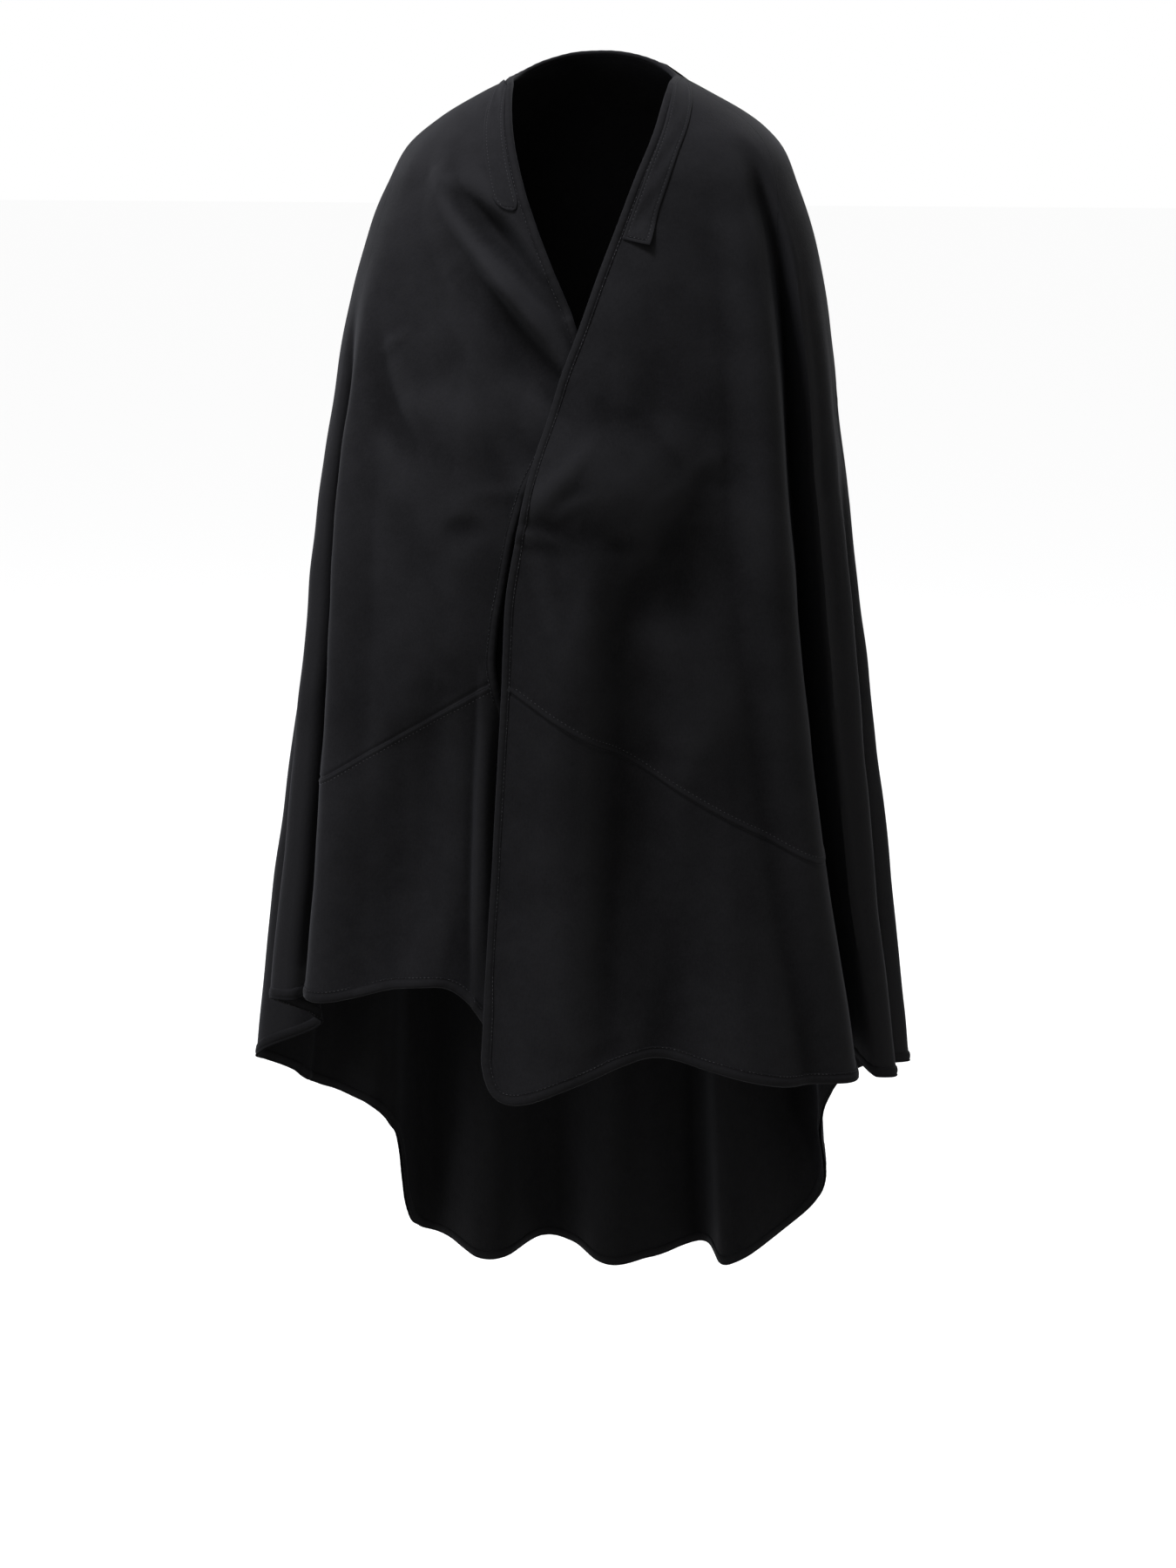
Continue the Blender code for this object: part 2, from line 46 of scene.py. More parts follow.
SEAM_GAP = 0.0003       # between two pieces where they are sewn together
LAP = 0.012             # how far the right front lies behind the left where they lap
SHOULDER_SEAM = 96.0    # angle of the side seam at the neck
ARC_PER_DEGREE = 0.0042
FALL = 1.06             # mean length of cloth from neck to hem

# Side silhouette: station, sideways shift of the oval, half width, height
SIDE = [
    (0.00, 0.006, 0.086, -0.036), (0.04, 0.007, 0.115, -0.049), (0.08, 0.008, 0.158, -0.073),
    (0.115, 0.006, 0.189, -0.100), (0.15, 0.004, 0.208, -0.138), (0.20, 0.002, 0.228, -0.190),
    (0.27, -0.001, 0.246, -0.262), (0.36, -0.003, 0.260, -0.360), (0.48, -0.004, 0.273, -0.478),
    (0.62, -0.004, 0.287, -0.622), (0.80, -0.005, 0.308, -0.815), (1.00, -0.004, 0.336, -1.060),
]
# Front middle: station, forward position, height
FRONT = [
    (0.00, -0.088, -0.060), (0.08, -0.119, -0.115), (0.18, -0.148, -0.197), (0.27, -0.172, -0.276),
    (0.36, -0.192, -0.356), (0.46, -0.216, -0.440), (0.54, -0.224, -0.515), (0.62, -0.2315, -0.594),
    (0.72, -0.2325, -0.700), (0.80, -0.240, -0.785), (0.90, -0.256, -0.892), (1.00, -0.277, -1.000),
]
# Back middle: station, backward position, height
BACK = [
    (0.00, 0.066, -0.012), (0.04, 0.090, -0.032), (0.08, 0.108, -0.064), (0.18, 0.128, -0.175),
    (0.27, 0.130, -0.285), (0.36, 0.128, -0.400), (0.48, 0.128, -0.570), (0.62, 0.132, -0.780),
    (0.80, 0.142, -1.060), (1.00, 0.155, -1.385),
]
# Hem line: angle, height
HEM = [
    (-196, -0.985), (-180, -0.975), (-169, -0.962), (-164, -0.938), (-158, -0.922),
    (-150, -0.928), (-140, -0.945), (-127, -0.953), (-118, -0.972), (-113, -0.979), (-109, -0.992),
    (-103, -1.026), (-93, -1.090), (-88, -1.109), (-82, -1.129), (-70, -1.155), (-62, -1.169),
    (-55, -1.182), (-51, -1.197), (-47.5, -1.219), (-45.2, -1.242), (-44.1, -1.266), (-42.4, -1.336),
    (-41, -1.366), (-38.5, -1.388), (-35, -1.396), (-28, -1.395), (-20, -1.391), (0, -1.395), (20, -1.386),
    (30, -1.370), (37, -1.352), (42, -1.328), (47, -1.285), (52, -1.222),
    (57, -1.160), (63, -1.116), (71, -1.090), (82, -1.076), (92, -1.065),
    (105, -1.050), (120, -1.030), (135, -1.020), (150, -1.000), (163, -0.985),
    (175, -1.000), (186, -1.020), (189, -1.012), (191, -0.995), (196, -0.960),
]
# Hanging folds: name, angle at the neck, half way and hem, half width (degrees) at the
# neck and hem, how far out it stands (a trough is below zero), station where it starts,
# station where it is full
FOLDS = [
    ("right front roll", -116, -126.8, -134.6, 12, 9, 0.022, 0.14, 0.50),
    ("right front trough", -109.5, -119, -124.2, 7.5, 6, -0.024, 0.22, 0.60),
    ("right fold tucked in", -104, -114, -119, 8, 6.5, 0.0, 0.20, 0.60),
    ("right second fold", -99, -108.5, -114.5, 9, 8, 0.018, 0.20, 0.60),
    ("right side trough", -90, -98, -102.5, 8, 7, -0.042, 0.55, 0.98),
    ("right side tip", -80, -88, -92, 14, 10, 0.036, 0.20, 0.90),
    ("right back hollow", -62, -59, -55, 14, 13, -0.038, 0.20, 0.95),
    ("right back fold", -46, -42, -37, 12, 10.5, 0.062, 0.16, 0.95),
    ("right tail trough", -30, -27, -23, 11, 10, -0.034, 0.25, 0.95),
    ("tail right fold", -12, -12, -11, 10, 10, 0.034, 0.22, 0.95),
    ("tail trough", 4, 3, 3, 10, 10, -0.035, 0.30, 0.95),
    ("tail left fold", 20, 20, 20, 10, 10, 0.038, 0.22, 0.95),
    ("left tail trough", 32, 31, 30, 12, 12, -0.046, 0.25, 0.95),
    ("left back fold", 48, 46, 44.5, 12, 11, 0.042, 0.16, 0.95),
    ("left back hollow", 64, 62, 60, 11, 12, -0.040, 0.20, 0.95),
    ("left last fold", 80, 82, 83, 10, 8.5, 0.026, 0.15, 0.85),
    ("left groove", 92, 94, 93.5, 7, 6, -0.027, 0.30, 0.90),
    ("left next fold", 102, 104.5, 102.5, 8, 6.5, 0.018, 0.16, 0.60),
    ("left front trough", 119.5, 120.5, 113.5, 8, 7, -0.028, 0.06, 0.34),
    ("left front roll", 130.5, 131.5, 122.8, 11, 10, 0.026, 0.08, 0.36),
    ("left hem bulge", 186, 184, 182, 20, 15, 0.026, 0.55, 1.00),
    ("left hem hollow", 160, 160, 158, 16, 14, -0.030, 0.50, 1.00),
    ("left hem swell", 138, 138, 137, 14, 13, 0.014, 0.60, 1.00),
    ("right hem hollow", -160, -161, -162, 16, 12, -0.030, 0.55, 1.00),
    ("right hem swell", -140, -139, -140, 14, 12, 0.012, 0.60, 1.00),
]
# How far sideways and back a fold is carried: the two deep troughs behind the fronts,
# and the side cloth that lies tucked in behind the right one
CARRIED = {"right front trough": (0.0, 0.088), "left front trough": (0.0, 0.098),
           "right fold tucked in": (0.010, -0.001)}
# Pulls across the cloth: name, angle and station of each end, half width, rise
PULLS = [
    ("shoulder drag", -132, 0.122, -180, 0.268, 0.034, 0.005),
    ("hollow under the drag", -152, 0.208, -181, 0.340, 0.028, -0.005),
    ("hollow over the drag", -152, 0.145, -174, 0.212, 0.028, -0.006),
    ("pull from the grip", 184, 0.455, 174, 0.330, 0.030, 0.004),
    ("over the left forearm", 184, 0.455, 157, 0.380, 0.062, 0.011),
    ("over the forearm", -146, 0.350, -180, 0.362, 0.050, 0.006),
    ("hollow beside the hand", 147, 0.430, 159, 0.700, 0.052, -0.011),
    ("long front hollow", 165, 0.500, 169, 0.980, 0.042, -0.012),
]
# Girth: station, metres of cloth to one degree, before the folds
GIRTH = [(0.0, 0.0014), (0.08, 0.0024), (0.15, 0.0030), (0.27, 0.0035), (0.48, 0.0039), (1.0, 0.0049)]
# Creases: name, angle and station at the start, middle and end, half width, how much
# narrower its left bank is than its right (0 for the same), place along it where it is
# highest, rise
CREASES = [
    ("shoulder drag crest", -129.5, .112, -158, .184, -184, .318, .0125, 0.0, 0.75, .0150),
    ("hollow at the neck edge", -138, .126, -157, .167, -180, .246, .0140, 0.20, 0.45, -.0185),
    ("hollow under the crest", -142, .156, -161, .229, -182, .340, .0200, 0.0, 0.35, -.0042),
    ("shoulder dent", -118, .090, -125, .125, -130, .160, .0180, 0.0, 0.5, -.0020),
    ("elbow nick", -130, .295, -136, .285, -141, .270, .0090, 0.0, 0.4, .0022),
    ("elbow dent", -131, .285, -137, .345, -147, .398, .0220, -0.40, 0.7, -.0050),
    ("wrist dimple", -162.5, .474, -161, .492, -159, .515, .0230, 0.0, 0.5, -.0034),
    ("right pull to the grip", -160, .452, -167, .444, -176, .440, .0150, 0.0, 0.9, .0018),
    ("edge drawn to the grip", -166, .360, -170, .400, -175, .440, .0180, 0.0, 0.8, .0018),
    ("right forearm line", -138, .455, -146, .500, -153, .570, .0320, 0.0, 0.4, -.0022),
    ("under front ridge", -165.8, .640, -165.6, .800, -165.2, .995, .0110, 0.2, 0.6, .0080),
    ("under front recess", -169.6, .640, -168.9, .800, -168.4, .995, .0085, 0.0, 0.4, -.0070),
    ("right long fold", -138, .600, -141, .780, -141, .960, .0300, 0.0, 0.6, .0022),
    ("right long trough", -154.5, .690, -151.0, .850, -150.0, 1.08, .0560, -0.20, 0.60, -.0240),
    ("upper grip pull", 185.3, .458, 179.5, .426, 171, .365, .0170, 0.20, 0.30, .0034),
    ("middle grip pull", 182.8, .466, 178, .452, 171, .436, .0125, 0.0, 0.3, .0020),
    ("level grip pull", 186.2, .478, 181.5, .482, 175, .493, .0140, 0.0, 0.1, .0036),
    ("falling grip pull", 185.8, .484, 182, .525, 178, .610, .0150, 0.0, 0.2, .0018),
    ("pull down the left edge", 167, .215, 168.5, .320, 174, .410, .0440, -0.2, 0.65, .0060),
    ("hollow under the forearm", 144.5, .412, 155, .505, 165, .585, .0440, 0.35, 0.55, -.0080),
    ("long trough", 164.3, .505, 165.5, .700, 169.0, .980, .0380, 0.3, 0.4, -.0062),
    ("left front swell", 174.0, .490, 173.8, .720, 174.8, .980, .0460, -0.42, 0.5, .0085),
    ("left hem fold", 176, .780, 175, .880, 175, 1.0, .0280, 0.0, 1.0, .0025),
    ("left shoulder point", 122, .060, 124, .090, 126, .135, .0240, 0.0, 0.4, .0030),
    ("left sleeve line", 140, .110, 142, .170, 143, .280, .0260, 0.0, 0.3, -.0025),
    ("left chest drag", 150, .140, 158, .190, 167, .250, .0280, 0.0, 0.6, .0018),
    ("left breast line", 147, .230, 154, .300, 164, .350, .0300, 0.0, 0.5, -.0018),
    ("left arm line", 138, .380, 141, .480, 143, .620, .0260, 0.0, 0.5, -.0025),
    ("back drag, right", -78, .095, -60, .160, -42, .300, .0200, 0.2, 0.5, .0070),
    ("back drag, left", 79, .090, 62, .165, 47, .310, .0210, -0.2, 0.5, .0065),
    ("shoulder blade hollow, right", -66, .185, -55, .260, -47, .350, .0260, 0.0, 0.5, -.0060),
    ("shoulder blade hollow, left", 67, .200, 57, .270, 50, .350, .0240, 0.0, 0.5, -.0055),
    ("right elbow dent", -90, .300, -86, .360, -84, .440, .0230, 0.0, 0.4, -.0035),
    ("left elbow dent", 91, .310, 87, .370, 85, .450, .0230, 0.0, 0.4, -.0035),
    ("right arm crease", -80, .330, -72, .350, -62, .400, .0150, 0.2, 0.3, .0032),
    ("left arm crease", 80, .350, 72, .365, 63, .420, .0150, -0.2, 0.3, .0032),
    ("small of the back, right", -30, .380, -20, .420, -6, .440, .0260, 0.0, 0.5, .0020),
    ("small of the back, left", 34, .400, 24, .440, 10, .450, .0240, 0.0, 0.5, -.0020),
    ("tail side fold, right", -50, .560, -51, .720, -48, .900, .0210, 0.0, 0.7, .0050),
    ("tail side fold, left", 55, .580, 56, .740, 53, .920, .0200, 0.0, 0.7, .0045),
    ("tail middle fold", -4, .620, -3, .780, -4, 1.0, .0180, 0.0, 1.0, .0040),
    ("tail small fold", 11, .700, 11, .850, 12, 1.0, .0160, 0.0, 1.0, -.0035),
    ("right side small fold", -72, .640, -73, .800, -74, 1.0, .0180, 0.0, 1.0, .0045),
    ("left side small fold", 72, .660, 73, .820, 73, 1.0, .0170, 0.0, 1.0, -.0045),
]
# Slight unevenness all over: waves across and down (radians a metre), turn, height
UNEVEN = [
    (31, 9, 0.4, .00035), (52, -17, 1.9, .00025), (19, 27, 2.6, .00040), (71, 33, 4.1, .00020),
    (11, -41, 5.2, .00030), (93, -48, 0.9, .00014), (44, 61, 3.3, .00018), (8, 83, 1.2, .00012),
]


def curve(rows, column, x):
    """Smooth curve through one column of a table whose first column is its position."""
    xs = np.array([row[0] for row in rows], float)
    ys = np.array([row[column] for row in rows], float)
    x = np.clip(np.asarray(x, float), xs[0], xs[-1])
    step = np.diff(xs)
    slope = np.diff(ys) / step
    m = np.zeros(len(xs))
    m[0], m[-1] = slope[0], slope[-1]
    for i in range(1, len(xs) - 1):
        if slope[i - 1] * slope[i] > 0:
            mean = (slope[i - 1] * step[i] + slope[i] * step[i - 1]) / (step[i - 1] + step[i])
            limit = 3 * min(abs(slope[i - 1]), abs(slope[i]))
            m[i] = max(-limit, min(limit, mean))
    i = np.clip(np.searchsorted(xs, x, side="right") - 1, 0, len(xs) - 2)
    h = step[i]
    u = (x - xs[i]) / h
    return ((1 + 2 * u) * (1 - u) ** 2 * ys[i] + u * (1 - u) ** 2 * h * m[i]
            + u * u * (3 - 2 * u) * ys[i + 1] + u * u * (u - 1) * h * m[i + 1])


def ease(low, high, x):
    u = np.clip((np.asarray(x, float) - low) / (high - low), 0, 1)
    return u * u * (3 - 2 * u)


def bump(distance, half_width):
    return 0.5 + 0.5 * np.cos(np.pi * np.clip(np.abs(distance) / half_width, 0, 1))


def fold_angle(fold, t):
    """Angle of a fold's middle at station t, through its three named angles."""
    return (fold[1] * (1 - t) * (1 - 2 * t) + fold[2] * 4 * t * (1 - t)
            + fold[3] * t * (2 * t - 1))


def section(angle, t):
    """The oval sections, before the folds."""
    s, c = np.sin(np.radians(angle)), np.cos(np.radians(angle))
    front, back = np.clip(-c, 0, 1), np.clip(c, 0, 1)
    x = curve(SIDE, 1, t) + curve(SIDE, 2, t) * s
    y = curve(FRONT, 1, t) * front ** 0.92 + curve(BACK, 1, t) * back ** 0.92
    side_z, front_z, back_z = curve(SIDE, 3, t), curve(FRONT, 2, t), curve(BACK, 2, t)
    z = side_z + (front_z - side_z) * front ** 1.6 + (back_z - side_z) * back ** 1.6
    plain_hem = (SIDE[-1][3] + (FRONT[-1][2] - SIDE[-1][3]) * front ** 1.6
                 + (BACK[-1][2] - SIDE[-1][3]) * back ** 1.6)
    z = z + (curve(HEM, 1, angle) - plain_hem) * ease(0.15, 1.0, t) * t
    return x, y, z


def crease_height(angle, t):
    """What the small creases add, each along its own bent line on the cloth."""
    out = np.zeros(angle.shape)
    x, y = angle * curve(GIRTH, 1, t), t * FALL
    for _, a0, t0, am, tm, a1, t1, half_width, lean, peak, rise in CREASES:
        k = np.linspace(0, 1, 13)
        first, middle, last = (1 - k) * (1 - 2 * k), 4 * k * (1 - k), k * (2 * k - 1)
        line_a, line_t = a0 * first + am * middle + a1 * last, t0 * first + tm * middle + t1 * last
        lx, ly = line_a * curve(GIRTH, 1, line_t), line_t * FALL
        wide = half_width * 1.8
        near = ((x > lx.min() - wide) & (x < lx.max() + wide) & (y > ly.min() - wide) & (y < ly.max() + wide))
        if not near.any():
            continue
        px, py = x[near], y[near]
        away, share, bank = np.full(px.shape, 9.0), np.zeros(px.shape), np.zeros(px.shape)
        for i in range(len(k) - 1):
            bx, by = lx[i + 1] - lx[i], ly[i + 1] - ly[i]
            along = np.clip(((px - lx[i]) * bx + (py - ly[i]) * by) / (bx * bx + by * by), 0, 1)
            off_x, off_y = px - lx[i] - along * bx, py - ly[i] - along * by
            distance = np.hypot(off_x, off_y)
            closer = distance < away
            away = np.where(closer, distance, away)
            share = np.where(closer, (i + along) / (len(k) - 1), share)
            bank = np.where(closer, np.sign(bx * off_y - by * off_x), bank)
        to_peak = ease(-0.15, max(peak, 0.01), share)
        past_peak = 1 - ease(min(peak, 0.99), 1.15, share)
        taper = np.where(share < peak, to_peak, past_peak)
        out[near] += rise * taper * bump(away, half_width * (0.65 + 0.5 * taper) * (1 + lean * bank))
    return out


def fold_height(angle, t):
    """How far the folds, pulls and creases push the cloth outward."""
    out = np.zeros(np.broadcast(angle, t).shape)
    for fold in FOLDS:
        half_width = fold[4] + (fold[5] - fold[4]) * t
        out = out + (fold[6] * ease(fold[7], fold[8], t) * (0.35 + 0.65 * t)
                     * bump(angle - fold_angle(fold, t), half_width))
    for _, a0, t0, a1, t1, half_width, rise in PULLS:
        ax, ay = a0 * ARC_PER_DEGREE, t0 * FALL
        bx, by = a1 * ARC_PER_DEGREE - ax, t1 * FALL - ay
        px, py = angle * ARC_PER_DEGREE - ax, t * FALL - ay
        k = np.clip((px * bx + py * by) / (bx * bx + by * by), 0, 1)
        away = np.hypot(px - k * bx, py - k * by)
        taper = np.sin(np.pi * np.clip(k, 0.02, 0.98))
        out = out + rise * bump(away, half_width * (0.55 + 0.9 * taper ** 0.7)) * (0.25 + 0.75 * taper)
    out = out + crease_height(angle, t)
    x, y = angle * curve(GIRTH, 1, t), t * FALL
    for across, down, turn, height in UNEVEN:
        out = out + height * np.sin(across * x + down * y + turn) * ease(0.03, 0.2, t)
    return out


def drape(angle, t):
    """Middle of the cloth at an angle round the wearer and a station down it."""
    angle, t = np.broadcast_arrays(np.asarray(angle, float), np.asarray(t, float))
    x, y, z = section(angle, t)
    x0, y0, _ = section(angle - 0.25, t)
    x1, y1, _ = section(angle + 0.25, t)
    run = np.hypot(x1 - x0, y1 - y0)
    out_x, out_y = -(y1 - y0) / run, (x1 - x0) / run
    out = fold_height(angle, t)
    under = LAP * ease(158, 172, -angle) * ease(0.16, 0.30, t)
    out = (out - under) * ease(0.0, 0.12, t)
    x, y = x + out_x * out, y + out_y * out
    for fold in FOLDS:
        if fold[0] in CARRIED:
            half_width = (fold[4] + (fold[5] - fold[4]) * t) * 1.05
            share = (ease(fold[7], fold[8], t) * (0.45 + 0.55 * t)
                     * bump(angle - fold_angle(fold, t), half_width))
            x, y = x + CARRIED[fold[0]][0] * share, y + CARRIED[fold[0]][1] * share
    return np.stack([x, y, z], -1)


def unit(v):
    return v / np.maximum(np.linalg.norm(v, axis=-1, keepdims=True), 1e-12)


def outward(angle, t):
    """Outward normal of the drape."""
    low, high = np.maximum(t - 0.003, 0), np.minimum(t + 0.003, 1)
    across = drape(angle + 0.6, t) - drape(angle - 0.6, t)
    down = drape(angle, high) - drape(angle, low)
    return unit(np.cross(across, down))


def facing(middle, sign=1):
    """Normals of a sheet of points, whose columns run round and whose rows run down."""
    return sign * unit(np.cross(np.gradient(middle, axis=1), np.gradient(middle, axis=0)))


def side_seam_angle(side, t):
    """The side seam lies in the bottom of the deep trough behind each front."""
    name = "right front trough" if side < 0 else "left front trough"
    trough = fold_angle([row for row in FOLDS if row[0] == name][0], t)
    return trough + (side * SHOULDER_SEAM - trough) * (1 - ease(0.0, 0.24, t))


def spread(start, end, columns):
    """Shares of a span, set closer together where folds are deep and narrow."""
    fine = np.linspace(0, 1, 721)
    angle = start + (end - start) * fine
    density = np.ones(fine.shape)
    for fold in FOLDS:
        crowding = abs(fold[6]) / 0.05 * 8 / fold[5]
        density += 0.8 * crowding * bump(angle - fold_angle(fold, 0.85), 1.5 * fold[5])
    total = np.concatenate([[0], np.cumsum((density[1:] + density[:-1]) / 2)])
    return np.interp(np.linspace(0, 1, columns + 1), total / total[-1], fine)


class Shade:
    """One output of a shader node, so that shades can be worked out as sums."""

    def __init__(self, tree, socket=None):
        self.tree, self.socket = tree, socket

    def node(self, kind, settings, sockets, output=0):
        made = self.tree.nodes.new(kind)
        for name, value in settings.items():
            if name == "stops":
                ramp = made.color_ramp
                for stop in value[2:]:
                    ramp.elements.new(stop[0])
                for element, stop in zip(ramp.elements, value):
                    element.position, element.color = stop[0], (*stop[1], 1)
            else:
                setattr(made, name, value)
        for name, value in sockets.items():
            if isinstance(value, Shade):
                self.tree.links.new(value.socket, made.inputs[name])
            else:
                made.inputs[name].default_value = value
        return Shade(self.tree, made.outputs[output])

    def sum(self, operation, first, second):
        return self.node("ShaderNodeMath", {"operation": operation}, {0: first, 1: second})

    def __add__(self, other):
        return self.sum("ADD", self, other)

    def __radd__(self, other):
        return self.sum("ADD", other, self)

    def __sub__(self, other):
        return self.sum("SUBTRACT", self, other)

    def __rsub__(self, other):
        return self.sum("SUBTRACT", other, self)

    def __mul__(self, other):
        return self.sum("MULTIPLY", self, other)

    def __rmul__(self, other):
        return self.sum("MULTIPLY", other, self)

    def __pow__(self, other):
        return self.sum("POWER", self, other)


def felted_wool(name, deep, lit, roughness, sheen, nap_height):
    """Felted wool: fine nap, felt lumps, soft clouds of tone, paler on crests, partly as wear and partly as a
    painted highlight.
    """
    material = bpy.data.materials.new(name)
    material.use_nodes = True
    tree = material.node_tree
    shader = tree.nodes["Principled BSDF"]
    start = Shade(tree)
    place = start.node("ShaderNodeTexCoord", {}, {}, "Object")
    along = start.node("ShaderNodeUVMap", {"uv_map": "cloth"}, {})
    grain = start.node("ShaderNodeMapping", {}, {"Vector": along, "Scale": (900.0, 160.0, 1.0)})

    def noise(vector, scale, detail, roughness):
        sockets = {"Vector": vector, "Scale": scale, "Detail": detail, "Roughness": roughness}
        return start.node("ShaderNodeTexNoise", {}, sockets)

    nap = noise(place, 1500.0, 3.0, 0.6)
    fibre = noise(grain, 1.0, 3.0, 0.55)
    felt = noise(place, 330.0, 4.0, 0.6)
    mottle = noise(place, 55.0, 3.0, 0.5)
    cloud = noise(place, 7.0, 2.0, 0.5)
    # the crest value lightens the colour: partly wear on the nap, partly a painted highlight where crests
    # catch the light
    rub = start.node("ShaderNodeAttribute", {"attribute_name": "rub"}, {}, "Fac")
    tone = (0.5 + (nap - 0.5) * 0.55 + (fibre - 0.5) * 0.5 + (felt - 0.5) * 0.6 + (mottle - 0.5) * 0.5
            + (cloud - 0.5) * 0.6 + rub * 0.55)
    colour = start.node("ShaderNodeMix", {"data_type": "RGBA", "clamp_factor": True},
                        {0: tone, 6: (*deep, 1), 7: (*lit, 1)}, 2)
    tree.links.new(colour.socket, shader.inputs["Base Color"])
    rough = roughness + (felt - 0.5) * 0.10 - rub * 0.05
    tree.links.new(rough.socket, shader.inputs["Roughness"])
    height = nap * 0.35 + fibre * 0.30 + felt * 0.75 + mottle * 0.45
    relief = start.node("ShaderNodeBump", {}, {"Strength": 0.55, "Distance": nap_height, "Height": height})
    tree.links.new(relief.socket, shader.inputs["Normal"])
    shader.inputs["Specular IOR Level"].default_value = 0.06
    shader.inputs["Sheen Weight"].default_value = sheen
    shader.inputs["Sheen Roughness"].default_value = 0.42
    shader.inputs["Sheen Tint"].default_value = (0.80, 0.83, 0.92, 1)
    return material


def proud_wear_and_highlight(middle, face):
    """How much each point stands proud of the cloth round it, from 0 to 1; crests are painted paler by it,
    partly as wear and partly as a painted highlight.
    """
    around = np.zeros(middle.shape)
    for step in (2, 5):
        padded = np.pad(middle, ((step, step), (step, step), (0, 0)), mode="reflect", reflect_type="odd")
        rows, columns = middle.shape[:2]
        around += (padded[:rows, step:step + columns] + padded[2 * step:, step:step + columns]
                   + padded[step:step + rows, :columns] + padded[step:step + rows, 2 * step:]) / 8
    proud = np.sum((middle - around) * face, axis=-1)
    return np.clip(proud / 0.0016, -0.6, 1.0)


def panel(name, middle, face, thickness, material, place, rub=None):
    """A cloth panel: its points moved half its thickness each way, and its cut edges."""
    rows, columns = middle.shape[:2]
    count = rows * columns
    points = np.concatenate([(middle + face * thickness * s).reshape(-1, 3) for s in (0.5, -0.5)])
    index = np.arange(count).reshape(rows, columns)
    a, b, c, d = index[:-1, :-1], index[:-1, 1:], index[1:, 1:], index[1:, :-1]
    outer = np.stack([a, b, c, d], -1).reshape(-1, 4)
    inner = np.stack([a, d, c, b], -1).reshape(-1, 4) + count
    rim = np.concatenate([index[0, ::-1], index[1:, 0], index[-1, 1:], index[-2:0:-1, -1]])
    after = np.roll(rim, -1)
    edges = np.stack([rim, after, after + count, rim + count], -1)
    faces = np.concatenate([outer, inner, edges])
    if np.mean(np.sum(np.cross(middle[:-1, 1:] - middle[:-1, :-1], middle[1:, :-1] - middle[:-1, :-1])
                      * face[:-1, :-1], axis=-1)) < 0:
        faces = faces[:, ::-1]
    mesh = bpy.data.meshes.new(name)
    mesh.from_pydata(points.tolist(), [], faces.tolist())
    mesh.update()
    flat = np.tile(np.stack(place, -1).reshape(-1, 2), (2, 1))
    layer = mesh.uv_layers.new(name="cloth")
    layer.data.foreach_set("uv", flat[faces.reshape(-1)].reshape(-1).astype(np.float32))
    # crest value per point: partly wear, partly a painted highlight
    wear_and_highlight_values = mesh.attributes.new("rub", "FLOAT", "POINT")
    values = np.zeros(count) if rub is None else rub.reshape(-1)
    wear_and_highlight_values.data.foreach_set("value", np.concatenate([values, np.zeros(len(values))]).astype(np.float32))
    mesh.shade_smooth()
    mesh.set_sharp_from_angle(angle=math.radians(60))
    mesh.materials.append(material)
    piece = bpy.data.objects.new(name, mesh)
    bpy.context.scene.collection.objects.link(piece)
    return piece


wool = felted_wool("felted charcoal wool", (0.0054, 0.0053, 0.0057), (0.0148, 0.0146, 0.0156),
                   0.92, 0.035, 0.0006)
# a darker copy of the same wool, for the back and the hood: painted shade where the inside of the cloak lies
# in shadow
wool_painted_darker = felted_wool("felted charcoal wool, back", (0.0052, 0.0051, 0.0055), (0.0140, 0.0138, 0.0147),
                          0.93, 0.035, 0.0007)

BACK_COLUMNS, BACK_ROWS = 262, 150
share = spread(side_seam_angle(-1, 0.85), side_seam_angle(1, 0.85), BACK_COLUMNS)[None, :]
station = np.linspace(0, 1, BACK_ROWS + 1)[:, None] ** 1.12
station = station + np.zeros(share.shape)
gap = math.degrees(SEAM_GAP / 2 / 0.20)
first, last = side_seam_angle(-1, station) + gap, side_seam_angle(1, station) - gap
back_angle = first + (last - first) * share
back_middle = drape(back_angle, station)
back_face = facing(back_middle)
# the back is coloured with the darker copy of the wool: painted shade
back = panel("back_cloth", back_middle, back_face, CLOTH, wool_painted_darker,
             (back_angle * ARC_PER_DEGREE, station * FALL), proud_wear_and_highlight(back_middle, back_face))
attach(back, "root")
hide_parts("back")

# ---------------------------------------------------------------- fronts and gores
# Each front is two cloths: an upper panel from the neck, and a gore below it that widens
# the skirt, joined by a felled seam that falls away from the front edge.  The left front
# laps over the right.  The lower front corners are cut round.
CORNER = 0.017
# Front edges: station, sideways position of the right edge, and of the left edge
EDGE = [
    (0.00, -0.0720, 0.0875), (0.05, -0.0640, 0.0800), (0.10, -0.0510, 0.0650), (0.15, -0.0345, 0.0500),
    (0.20, -0.0150, 0.0345), (0.27, 0.0115, 0.0140), (0.31, 0.0190, 0.0010), (0.35, 0.0060, -0.0090),
    (0.40, -0.0190, -0.0220), (0.46, -0.0400, -0.0335), (0.50, -0.0490, -0.0410), (0.54, -0.0555, -0.0470),
    (0.60, -0.0640, -0.0500), (0.63, -0.0660, -0.0510), (0.66, -0.0620, -0.0525), (0.70, -0.0520, -0.0545),
    (0.80, -0.0430, -0.0590), (1.00, -0.0430, -0.0660),
]
SIDES = {-1: "right", 1: "left"}
# Gore seam: side, sideways place and height at the front edge, fall, sweep
GORE_SEAM = {-1: (-0.055, -0.603, 0.63, 0.0), 1: (-0.045, -0.612, 0.66, 0.16)}


